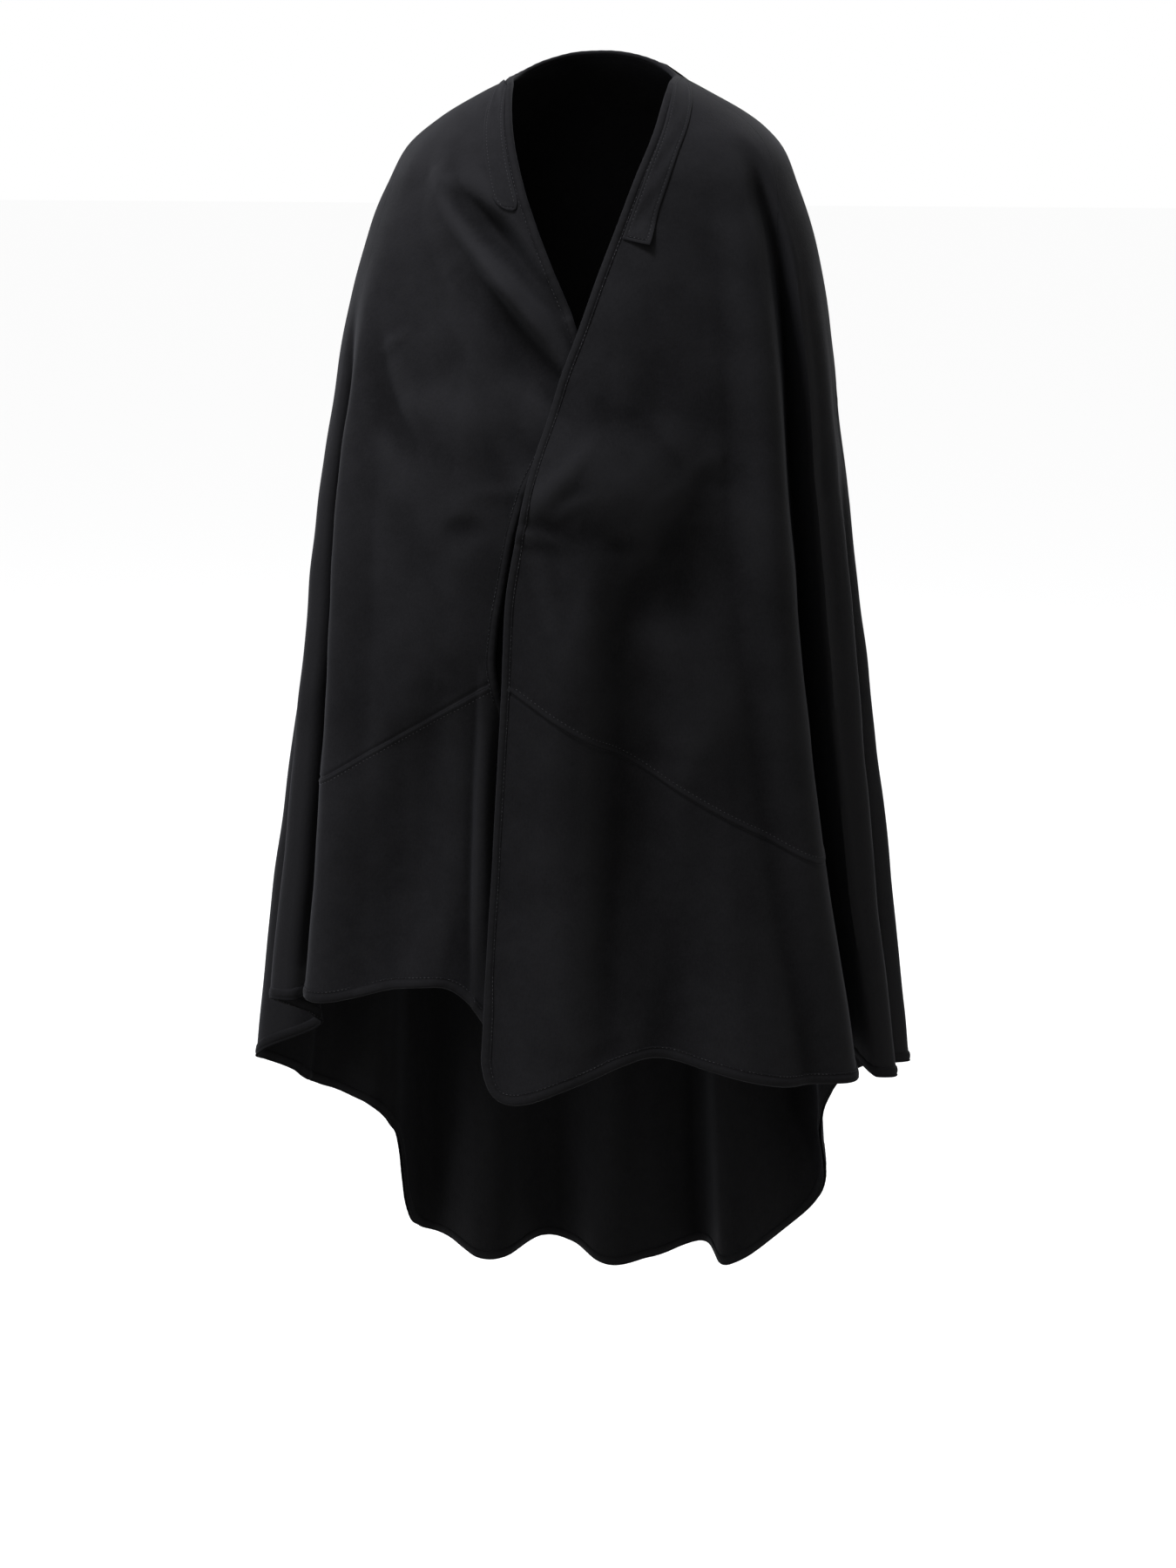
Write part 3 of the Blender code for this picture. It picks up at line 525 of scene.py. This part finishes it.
def edge_angle(side, t):
    """Angle of a front edge: side -1 is the right front, +1 the left."""
    x = curve(EDGE, 1 if side < 0 else 2, t) - curve(SIDE, 1, t)
    reach = np.degrees(np.arcsin(np.clip(x / curve(SIDE, 2, t), -1, 1)))
    return side * 180 - reach


def front_angle(side, u, t):
    """Angle at share u of a front, from its edge to the side seam."""
    edge = edge_angle(side, t)
    gap = math.degrees(SEAM_GAP / 2 / 0.20) * side
    return edge + (side_seam_angle(side, t) + gap - edge) * u


def hem_width(side):
    hem = drape(front_angle(side, np.linspace(0, 1, 120), 1.0), 1.0)
    return np.sum(np.linalg.norm(np.diff(hem, axis=0), axis=-1))


def rounded_corner(side, u, t):
    """Shares and stations of a front with its lower corner rounded off."""
    wide = CORNER / HEM_WIDTH[side]
    tall = CORNER / FALL
    a, b = np.clip(1 - u / wide, 0, 1), np.clip(1 - (1 - t) / tall, 0, 1)
    pull = np.where((a > 0) & (b > 0), np.maximum(a, b) / np.maximum(np.hypot(a, b), 1e-9), 1.0)
    return np.where(a > 0, (1 - a * pull) * wide, u), np.where(b > 0, 1 - (1 - b * pull) * tall, t)


def gore_seam_station(side, u):
    """Station of the gore seam: a straight cut that falls away from the front edge."""
    low, high = np.full(u.shape, 0.35), np.full(u.shape, 0.98)
    start_x, start_z, fall, sweep = GORE_SEAM[side]
    for _ in range(24):
        t = (low + high) / 2
        point = drape(front_angle(side, u, t), t)
        away = np.abs(point[..., 0] - start_x)
        above = point[..., 2] > start_z - fall * away + sweep * away ** 2
        low, high = np.where(above, t, low), np.where(above, high, t)
    return (low + high) / 2


HEM_WIDTH = {side: hem_width(side) for side in SIDES}
uppers, gores, seam_lines = {}, {}, {}
for side, word in SIDES.items():
    columns = 112 if side < 0 else 130
    share = spread(edge_angle(side, 0.85), side_seam_angle(side, 0.85), columns)
    close = np.arange(0, 9) * 0.0022 / HEM_WIDTH[side]
    share = np.concatenate([close, close[-1] + (1 - close[-1]) * share[1:]])
    seam = gore_seam_station(side, share)
    for _ in range(2):
        seam[1:-1] = (seam[:-2] + 2 * seam[1:-1] + seam[2:]) / 4
    gap = SEAM_GAP / 2 / FALL
    near = np.linspace(0, 0.016, 11)[1:]
    # the upper panel: wide rows, then close ones where the seam is felled
    rows = np.linspace(0, 1, 105) ** 1.15
    upper_t = (seam - near[-1])[None, :] * rows[:, None]
    upper_t = np.concatenate([upper_t, (seam[None, :] - near[::-1][1:, None]), (seam - gap)[None, :]])
    rows = np.linspace(0, 1, 62)
    closing = 1 - (np.arange(8)[::-1] * 0.0022)
    run_start = seam + near[-1]
    run_length = closing[0] - seam - near[-1]
    low = np.concatenate([seam[None, :] + near[:-1, None],
                          run_start[None, :] + run_length[None, :] * rows[:, None],
                          closing[1:, None] + np.zeros((1, len(seam)))])
    gore_t = np.concatenate([(seam + gap)[None, :], low])
    for pieces, name, t in ((uppers, "front", upper_t), (gores, "gore", gore_t)):
        u, t = rounded_corner(side, share[None, :] + np.zeros(t.shape), t)
        angle = front_angle(side, u, t)
        middle = drape(angle, t)
        face = facing(middle, -side)
        below = (t - seam[None, :]) * FALL
        # felled seam: the allowance makes a raised welt, with a line drawn in beside it
        welt = 0.0009 * bump(below + side * 0.0018, 0.0030) - 0.0007 * bump(below - side * 0.0030, 0.0032)
        middle = middle + face * welt[..., None]
        face = facing(middle, -side)
        # the seam line is painted paler along the welt: partly wear, partly a painted highlight
        cloth = panel(name + "_" + word + "_cloth", middle, face, CLOTH, wool,
                      (angle * ARC_PER_DEGREE, t * FALL), proud_wear_and_highlight(middle, face) + 0.35 * bump(below, 0.004))
        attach(cloth, "root")
        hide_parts(name + "_" + word)
        pieces[side] = cloth
    seam_u, seam_t = share, seam
    seam_lines[side] = (seam_u, seam_t)


# ---------------------------------------------------------------- sewing thread
# Seams, bands and bindings are sewn by hand with a soft charcoal thread, a shade paler
# than the wool, in short even stitches sunk a little into the cloth.
def thread_material():
    material = bpy.data.materials.new("charcoal sewing thread")
    material.use_nodes = True
    tree = material.node_tree
    shader = tree.nodes["Principled BSDF"]
    start = Shade(tree)
    place = start.node("ShaderNodeTexCoord", {}, {}, "Object")
    twist = start.node("ShaderNodeTexNoise", {}, {"Vector": place, "Scale": 900.0, "Detail": 2.0})
    colour = start.node("ShaderNodeMix", {"data_type": "RGBA", "clamp_factor": True},
                        {0: twist, 6: (0.014, 0.014, 0.015, 1), 7: (0.032, 0.032, 0.034, 1)}, 2)
    tree.links.new(colour.socket, shader.inputs["Base Color"])
    shader.inputs["Roughness"].default_value = 0.75
    return material


thread = thread_material()


def stitches(name, line, face, pitch=0.0040, length=0.0026, wide=0.00045, high=0.00035):
    """Small closed stitches laid end to end along a line of points."""
    steps = np.linalg.norm(np.diff(line, axis=0), axis=-1)
    total = np.concatenate([[0], np.cumsum(steps)])
    middles = np.arange(pitch * 0.7, total[-1] - pitch * 0.5, pitch)
    at = np.stack([np.interp(middles, total, line[:, k]) for k in range(3)], -1)
    ahead = np.stack([np.interp(middles + 0.001, total, line[:, k]) for k in range(3)], -1)
    up = unit(np.stack([np.interp(middles, total, face[:, k]) for k in range(3)], -1))
    run = unit(ahead - at)
    across = unit(np.cross(up, run))
    corners = np.stack([at - run * length / 2 - up * high * 0.3, at + across * wide, at - across * wide,
                        at + up * high, at - up * high, at + run * length / 2 - up * high * 0.3], 1)
    shape = np.array([(0, 1, 3), (0, 3, 2), (0, 2, 4), (0, 4, 1), (5, 3, 1), (5, 2, 3), (5, 4, 2), (5, 1, 4)])
    faces = (shape[None] + 6 * np.arange(len(middles))[:, None, None]).reshape(-1, 3)
    mesh = bpy.data.meshes.new(name)
    mesh.from_pydata(corners.reshape(-1, 3).tolist(), [], faces.tolist())
    mesh.update()
    mesh.materials.append(thread)
    sewn = bpy.data.objects.new(name, mesh)
    bpy.context.scene.collection.objects.link(sewn)
    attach(sewn, "root")
    return sewn


sewing = {side: [] for side in SIDES}
for side, word in SIDES.items():
    u, seam = seam_lines[side]
    fine = np.linspace(0.03, 0.985, 160)
    seam = np.interp(fine, u, seam) + side * -0.0060 / FALL
    angle = front_angle(side, fine, seam)
    face = outward(angle, seam)
    line = drape(angle, seam) + face * (CLOTH / 2)
    sewing[side].append(stitches("gore_seam_stitches_" + word, line, face, 0.0046, 0.0024, 0.00035, 0.00022))


# ---------------------------------------------------------------- neck bands
# A flat band of the same wool faces each front edge from the neck to the chest, sewn
# down along both sides.  The right one ends round; the left one ends square, and the
# outer corner of its end stands a little free.
# Band: side, near and far distance from the edge, station where it ends, how much wider
# it is at the neck
BANDS = {-1: (0.0080, 0.0345, 0.137, 0.006), 1: (0.0078, 0.0330, 0.165, 0.017)}
BAND_PLY = 0.0015


def on_front(side, t, distance):
    """Angles at given distances from a front's edge, measured along the cloth."""
    angle = edge_angle(side, t)[:, None] - side * np.linspace(0, 44, 100)[None, :]
    row = drape(angle, t[:, None])
    length = np.concatenate([np.zeros((len(t), 1)),
                             np.cumsum(np.linalg.norm(np.diff(row, axis=1), axis=-1), axis=1)], 1)
    return np.array([np.interp(d, s, a) for d, s, a in zip(distance, length, angle)])


band_material = felted_wool("felted wool of the bands", (0.0056, 0.0055, 0.0059), (0.0152, 0.0150, 0.0160),
                            0.91, 0.04, 0.0005)
for side, word in SIDES.items():
    near, far, end, flare = BANDS[side]
    along = np.concatenate([np.linspace(0, 0.86, 70), np.linspace(0.86, 1, 26)[1:]])
    t = 0.004 + (end - 0.004) * along
    across = np.linspace(0, 1, 23)
    q = across[None, :] + np.zeros((len(t), 1))
    if side < 0:
        # the end is rounded, mostly on its outer corner
        left_over = (end - t) * FALL
        scale = np.sqrt(np.clip(1 - (1 - np.clip(left_over / 0.017, 0, 1)) ** 2, 0.012, 1))[:, None]
        q = 0.35 + (q - 0.35) * scale
    distance = near + (far - near + flare * ease(0.085, 0.0, t)[:, None]) * q
    tt = t[:, None] + (0.010 * ease(0.80, 1, along)[:, None] * across[None, :] if side > 0 else 0.0)
    tt = tt + np.zeros(q.shape)
    angle = on_front(side, t, distance)
    under = drape(angle, tt)
    face = outward(angle, tt)
    rim = np.minimum(across, 1 - across)[None, :] * (far - near)
    tip = ((1 - along) * (end - 0.004) * FALL)[:, None]
    inside = np.minimum(rim, tip + 0.0002)
    groove = -0.0007 * bump(inside - 0.0030, 0.0011) - 0.0005 * (1 - ease(0.0, 0.0012, inside))
    swell = 0.0005 * np.sin(900 * tt * FALL * 0.12 + 3 * across[None, :]) * ease(0.003, 0.010, inside)
    free = (0.0042 * ease(0.88, 1, along)[:, None] * across[None, :] ** 1.5) if side > 0 else 0.0
    lift = CLOTH / 2 + 0.0003 + BAND_PLY / 2 + groove + swell + free
    middle = under + face * lift[..., None]
    # the bands are painted a little paler overall and more so at their rims: partly wear, partly a painted
    # highlight on the edges
    band = panel("band_" + word + "_cloth", middle, facing(middle, -side), BAND_PLY, band_material,
                 (distance, tt * FALL), 0.25 + 0.35 * bump(inside, 0.0022))
    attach(band, "root")
    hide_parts("band_" + word)
    skin = middle + facing(middle, -side) * BAND_PLY / 2
    outline = [(i, len(across) - 4) for i in range(2, len(along) - 4)]
    outline += [(len(along) - 5, j) for j in range(len(across) - 5, 2, -1)]
    line = np.array([skin[i, j] for i, j in outline])
    up = np.array([face[i, j] for i, j in outline])
    sewing[side].append(stitches("band_stitches_outer_" + word, line, up, 0.0040, 0.0026, 0.00040, 0.00030))
    line, up = skin[2:-6, 3], face[2:-6, 3]
    sewing[side].append(stitches("band_stitches_inner_" + word, line, up, 0.0040, 0.0026, 0.00040, 0.00030))


# ---------------------------------------------------------------- stand
# A low stand, a doubled strip of the wool, is sewn on the neck seam from front to front
# and leans in to the neck; it dies away to nothing at the front edges.
# Stand: angle, share of its full lean
STAND = [(-127, 0.03), (-113, 0.12), (-95, 0.24), (-70, 0.36), (-45, 0.42), (0, 0.32), (45, 0.40), (70, 0.36),
         (92, 0.22), (106, 0.12), (120, 0.03)]
STAND_LEAN = 0.015
angle = np.linspace(edge_angle(-1, 0.0) + 0.6, edge_angle(1, 0.0) - 0.6, 190)
lean = curve(STAND, 1, angle)[:, None]
ring = drape(angle, 0.0)
to_neck = unit(ring - drape(angle, 0.02))
rows = []
for q in np.linspace(0, 1, 10):
    roll = 0.0006 * np.sin(angle * 0.21)[:, None] * q * lean
    rows.append(ring + to_neck * (SEAM_GAP + STAND_LEAN * q * lean + roll))
middle = np.array(rows)
face = facing(middle, -1)
stand = panel("stand_cloth", middle, face, CLOTH, wool,
              (angle[None, :] * ARC_PER_DEGREE + np.zeros(middle.shape[:2]),
               np.linspace(-0.02, 0, 10)[:, None] + np.zeros(middle.shape[:2])))
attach(stand, "root")
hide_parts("stand")
stand_rim, stand_face = middle[-1], face[-1]


# ---------------------------------------------------------------- bindings
# Every cut edge is bound with a narrow strip of the same wool folded over it, felled
# down on both sides.  It is full and rounded, and puckers slightly at the stitches.
trim = felted_wool("wool binding", (0.0042, 0.0041, 0.0044), (0.0112, 0.0110, 0.0117), 0.90, 0.04, 0.0004)
# Section of a binding, one side: share of its leg below the cloth's edge, millimetres
# past the edge, millimetres off the middle of the cloth
BINDING_SIDE = [(-1.0, 0.0, 1.55), (-0.95, 0.0, 2.00), (-0.86, 0.0, 1.95), (-0.77, 0.0, 1.62),
                (-0.67, 0.0, 2.05), (-0.50, 0.0, 2.55), (-0.28, 0.0, 2.75), (-0.02, 0.0, 2.55),
                (0.0, 1.2, 2.10), (0.0, 2.2, 1.15)]


def bound_edge(name, edge, face, leg, material):
    """A folded strip swept along an edge of cloth, with the cloth's edge in its fold."""
    run = unit(np.gradient(edge, axis=0))
    face = unit(face - run * np.sum(face * run, axis=-1, keepdims=True))
    past_edge = -np.cross(face, run)
    leg = np.broadcast_to(leg, len(edge))[:, None]
    side = [(share, past / 1000, high / 1000) for share, past, high in BINDING_SIDE]
    outer = side + [(0.0, 0.0026, 0.0)] + [(share, past, -high) for share, past, high in side[::-1]]
    inner = [(-1, 0, -0.00140), (0, 0.0002, -0.00140), (0, 0.0002, 0.00140), (-1, 0, 0.00140)]
    length = np.concatenate([[0], np.cumsum(np.linalg.norm(np.diff(edge, axis=0), axis=-1))])
    pucker = 1 + 0.05 * np.sin(length * 620) + 0.05 * np.sin(length * 143 + 1) + 0.04 * np.sin(length * 57)
    section = [(corner, pucker[:, None]) for corner in outer] + [(corner, 1.0) for corner in inner]
    points = np.stack([edge + past_edge * (share * leg + past) + face * high * swell
                       for (share, past, high), swell in section], 1)
    rows, count = points.shape[:2]
    index = np.arange(rows * count).reshape(rows, count)
    a, b = index[:-1], index[1:]
    quads = np.stack([a, np.roll(a, -1, axis=1), np.roll(b, -1, axis=1), b], -1).reshape(-1, 4).tolist()
    caps = [index[0][::-1].tolist(), index[-1].tolist()]
    mesh = bpy.data.meshes.new(name)
    mesh.from_pydata(points.reshape(-1, 3).tolist(), [], quads + caps)
    mesh.update()
    turn = bmesh.new()
    turn.from_mesh(mesh)
    bmesh.ops.recalc_face_normals(turn, faces=turn.faces[:])
    turn.to_mesh(mesh)
    turn.free()
    layer = mesh.uv_layers.new(name="cloth")
    vertex = np.zeros(len(mesh.loops), np.int32)
    mesh.loops.foreach_get("vertex_index", vertex)
    place = np.stack([np.tile(np.arange(count) * 0.0015, rows), np.repeat(length, count)], -1)
    layer.data.foreach_set("uv", place[vertex].reshape(-1).astype(np.float32))
    wear_and_highlight_values = mesh.attributes.new("rub", "FLOAT", "POINT")
    # the rounded fold of the binding is painted paler: partly wear, partly a painted highlight
    crown = np.array([0.5 if share > -0.6 else 0.0 for share, _, _ in outer] + [0.0] * 4)
    wear_and_highlight_values.data.foreach_set("value", np.tile(crown, rows).astype(np.float32))
    mesh.shade_smooth()
    mesh.set_sharp_from_angle(angle=math.radians(75))
    mesh.materials.append(material)
    piece = bpy.data.objects.new(name, mesh)
    bpy.context.scene.collection.objects.link(piece)
    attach(piece, "root")
    sewn = stitches(name + "_stitches", edge + past_edge * (-0.88 * leg) + face * 0.00190, face,
                    0.0042, 0.0027, 0.00036, 0.00028)
    return piece, sewn


def evenly(points, others, step):
    """Points of a line, and what goes with them, set at even steps along it."""
    total = np.concatenate([[0], np.cumsum(np.linalg.norm(np.diff(points, axis=0), axis=-1))])
    at = np.linspace(0, total[-1], int(total[-1] / step) + 1)
    return [np.stack([np.interp(at, total, each[:, k]) for k in range(each.shape[1])], -1)
            for each in [points] + others]


# One line runs up the right front edge, round the stand and down the left front edge.
parts = []
for side in SIDES:
    down = np.concatenate([np.linspace(0.0, 0.97, 260), np.linspace(0.97, 1, 24)[1:]])
    along_hem = np.concatenate([np.linspace(0, 0.08, 14)[1:], np.linspace(0.08, 0.997, 130)[1:]])
    u = np.concatenate([np.zeros(len(down)), along_hem])
    t = np.concatenate([down, np.ones(len(along_hem))])
    u, t = rounded_corner(side, u, t)
    angle = front_angle(side, u, t)
    parts.append([drape(angle, t), outward(angle, t), np.full((len(u), 1), float(side))])
parts = [[each[::-1] for each in parts[0]], [stand_rim, stand_face, np.zeros((len(stand_rim), 1))], parts[1]]
edge, face, owner = [np.concatenate([part[k] for part in parts]) for k in range(3)]
edge, face, owner = evenly(edge, [face, owner], 0.0025)
turns = [int(np.argmax(owner[:, 0] > -0.5)), int(np.argmax(owner[:, 0] > 0.5))]
for turn_at in turns:
    near = slice(turn_at - 9, turn_at + 10)
    for _ in range(14):
        edge[near] = (edge[turn_at - 10:turn_at + 9] + 2 * edge[near] + edge[turn_at - 8:turn_at + 11]) / 4
        face[near] = (face[turn_at - 10:turn_at + 9] + 2 * face[near] + face[turn_at - 8:turn_at + 11]) / 4
for side, word, span in ((-1, "right", slice(0, turns[0] + 1)), (1, "left", slice(turns[1], len(edge)))):
    piece, sewn = bound_edge("binding_" + word + "_wool", edge[span], face[span],
                             0.0066 + 0.0030 * ease(-0.89, -0.94, edge[span][:, 2]), trim)
    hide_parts("binding_" + word)
    sewing[side].append(sewn)
span = slice(turns[0], turns[1] + 1)
binding_stand, stand_sewing = bound_edge("binding_stand_wool", edge[span], face[span], 0.0050, trim)
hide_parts("binding_stand")

row = back_angle[-1]
angle = np.interp(np.linspace(0.1, len(row) - 1.1, 900), np.arange(len(row)), row)
edge, face = drape(angle, np.ones(angle.shape)), outward(angle, np.ones(angle.shape))
edge, face = evenly(edge, [face], 0.003)
binding_back, back_sewing = bound_edge("binding_back_wool", edge[::-1], -face[::-1], 0.0092, trim)
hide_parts("binding_back")


# ---------------------------------------------------------------- hood
# The hood is sewn in behind the stand and hangs down the back as an empty pointed bag,
# its outer layer standing off the inner one, with its face edge lying open at the nape.
up = np.array([0.0, 0.0, 1.0])
# Hood, along its cut from the neck seam to the face edge: place, share of its reach down
# the back, distance off the back, what the outer layer adds where it is full, lift, layer
HOOD = [
    (0, 0.03, 0.0034, 0.000, 0.000, 0), (1, 0.12, 0.006, 0.000, 0.000, 0),
    (2, 0.36, 0.009, 0.000, 0.000, 0), (3, 0.70, 0.010, 0.000, 0.000, 0),
    (4, 0.97, 0.0115, 0.000, 0.000, 0), (4.4, 1.02, 0.0145, 0.009, 0.000, 0.5),
    (5, 1.005, 0.0175, 0.018, 0.000, 1), (6, 0.82, 0.0160, 0.032, 0.000, 1),
    (7, 0.58, 0.0150, 0.049, 0.000, 1), (8, 0.38, 0.0145, 0.056, 0.000, 1),
    (9, 0.25, 0.0135, 0.059, -0.004, 1), (10, 0.16, 0.0120, 0.059, -0.006, 1),
]
angle = np.linspace(-49, 49, 128)[None, :]
place = np.concatenate([np.linspace(0, 3.6, 34), np.linspace(3.6, 5.4, 30)[1:],
                        np.linspace(5.4, 10, 48)[1:]])[:, None]
around = np.abs(angle)
fullness = 0.01 + 0.99 * ease(44, 6, around) ** 1.3
reach = 0.060 + 0.050 * ease(58, 36, around) + 0.20 * ease(54, 0, around) ** 1.2
outer = curve(HOOD, 5, place)
t = curve(HOOD, 1, place) * reach + 0.036 * ease(6.5, 10, place) * ease(14, 46, around)
angle_all = angle + np.zeros(t.shape)
sag = (0.0040 * np.sin(angle_all * 0.30 + place * 0.5) * ease(5, 8, place) * ease(54, 30, around)
       + 0.0030 * np.sin(angle_all * 0.13 - place * 0.9 + 1) * ease(5, 7, place) * ease(54, 30, around))
away = (curve(HOOD, 2, place) * (0.34 + 0.66 * ease(50, 36, around))
        + curve(HOOD, 3, place) * fullness + sag * outer)
away = np.maximum(away, 0.0034 + 0.0030 * outer)
hang = outward(angle_all, t)
hang[..., 2] *= 1 - 0.8 * fullness * outer
hang = unit(hang)
lift = curve(HOOD, 4, place) * fullness - 0.021 * ease(8, 30, angle) * ease(6.0, 9.5, place)
middle = drape(angle_all, t) + hang * away[..., None] + up * lift[..., None]
face = facing(middle, -1)
# the hood is coloured with the darker copy of the wool: painted shade
hood = panel("hood_cloth", middle, face, CLOTH, wool_painted_darker,
             (angle_all * ARC_PER_DEGREE, place * 0.03 + np.zeros(t.shape)), proud_wear_and_highlight(middle, face))
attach(hood, "root")
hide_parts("hood")
edge, face = evenly(middle[-1, 1:-1], [face[-1, 1:-1]], 0.003)
binding_hood, hood_sewing = bound_edge("binding_hood_wool", edge, face, 0.0055, trim)
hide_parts("binding_hood")

# ---------------------------------------------------------------- floor, light, camera
# A plain pale floor under a white surround.  The key hangs above the wearer's right
# shoulder, with a window low at that side and weak fills in front; the lamps behind
# are there for views of the back and the sides.
bpy.ops.object.select_all(action="DESELECT")
bpy.ops.mesh.primitive_plane_add(size=60, location=(0, 0, -1.64))
floor = bpy.context.object
floor.name = "floor"
pale = bpy.data.materials.new("pale floor")
pale.use_nodes = True
finish = pale.node_tree.nodes["Principled BSDF"]
finish.inputs["Base Color"].default_value = (0.32, 0.32, 0.32, 1)
finish.inputs["Roughness"].default_value = 0.9
finish.inputs["Specular IOR Level"].default_value = 0.1
finish.inputs["Emission Color"].default_value = (1, 1, 1, 1)
finish.inputs["Emission Strength"].default_value = 0.88
floor.data.materials.append(pale)
floor.visible_diffuse = False

world = bpy.data.worlds.new("white studio")
bpy.context.scene.world = world
world.use_nodes = True
studio = Shade(world.node_tree)
toward = studio.node("ShaderNodeTexCoord", {}, {}, "Generated")
height = studio.node("ShaderNodeSeparateXYZ", {}, {0: toward}, "Z")
SOFTBOX_TOWARD = (-0.45, -0.52, 0.73)
softbox = studio.node("ShaderNodeVectorMath", {"operation": "DOT_PRODUCT"},
                      {0: toward, 1: SOFTBOX_TOWARD}, "Value")
softbox = studio.node("ShaderNodeClamp", {}, {0: softbox, 1: 0.0, 2: 1.0})
above = studio.node("ShaderNodeClamp", {}, {0: height, 1: 0.0, 2: 1.0})
seen = studio.node("ShaderNodeLightPath", {}, {}, "Is Camera Ray")
WORLD_DIM, WORLD_ABOVE, WORLD_SOFTBOX = 0.045, 0.14, 0.45
surround = WORLD_DIM + above * WORLD_ABOVE + softbox ** 3 * WORLD_SOFTBOX
strength = surround * (1 - seen) + seen * 1.0
background = world.node_tree.nodes["Background"]
background.inputs["Color"].default_value = (1, 1, 1, 1)
world.node_tree.links.new(strength.socket, background.inputs["Strength"])
bpy.context.scene.view_settings.view_transform = "Standard"

# Lamp: place, what it looks at, size, power, colour
LAMPS = [
    ("key", (-0.90, -0.66, 2.15), (0.0, 0.0, -0.30), 0.7, 100, (0.91, 0.92, 1.0)),
    ("top", (-0.25, -1.5, 1.6), (0.0, 0.0, -0.5), 0.9, 3.5, (0.96, 0.97, 1.0)),
    ("bounce", (1.2, -1.6, -1.45), (-0.20, 0.1, -1.2), 0.4, 3.5, (1.0, 1.0, 1.0)),
    ("fill", (2.2, -2.5, 0.0), (0.0, 0.0, -0.5), 1.2, 5, (1.0, 0.99, 0.97)),
    ("window", (-2.5, -1.8, 0.1), (0.0, 0.0, -0.7), 1.3, 17, (0.93, 0.94, 1.0)),
    ("rear", (1.2, 2.6, 1.5), (0.0, 0.0, -0.6), 1.2, 62, (1.0, 1.0, 1.0)),
    ("rear window", (-2.3, 2.1, 0.7), (0.0, 0.0, -0.6), 1.3, 44, (0.96, 0.97, 1.0)),
    ("left window", (2.9, 1.2, 0.4), (0.0, 0.0, -0.6), 1.2, 16, (1.0, 0.99, 0.98)),
]
for name, place, target, size, power, colour in LAMPS:
    lamp = bpy.data.lights.new(name, "AREA")
    lamp.shape, lamp.size, lamp.energy, lamp.color = "DISK", size, power, colour
    stand_in = bpy.data.objects.new(name, lamp)
    bpy.context.scene.collection.objects.link(stand_in)
    aim = np.array(target) - np.array(place)
    level = math.hypot(aim[0], aim[1])
    stand_in.location = place
    stand_in.rotation_euler = (math.pi / 2 + math.atan2(aim[2], level), 0, math.atan2(-aim[0], aim[1]))

lens = bpy.data.cameras.new("camera")
lens.sensor_fit, lens.sensor_width, lens.lens = "AUTO", 36.0, 57.2
camera = bpy.data.objects.new("camera", lens)
bpy.context.scene.collection.objects.link(camera)
camera.location = (0.3618, -2.5747, -0.03)
camera.rotation_euler = (math.radians(90 - 15.906), 0, math.radians(8))
bpy.context.scene.camera = camera
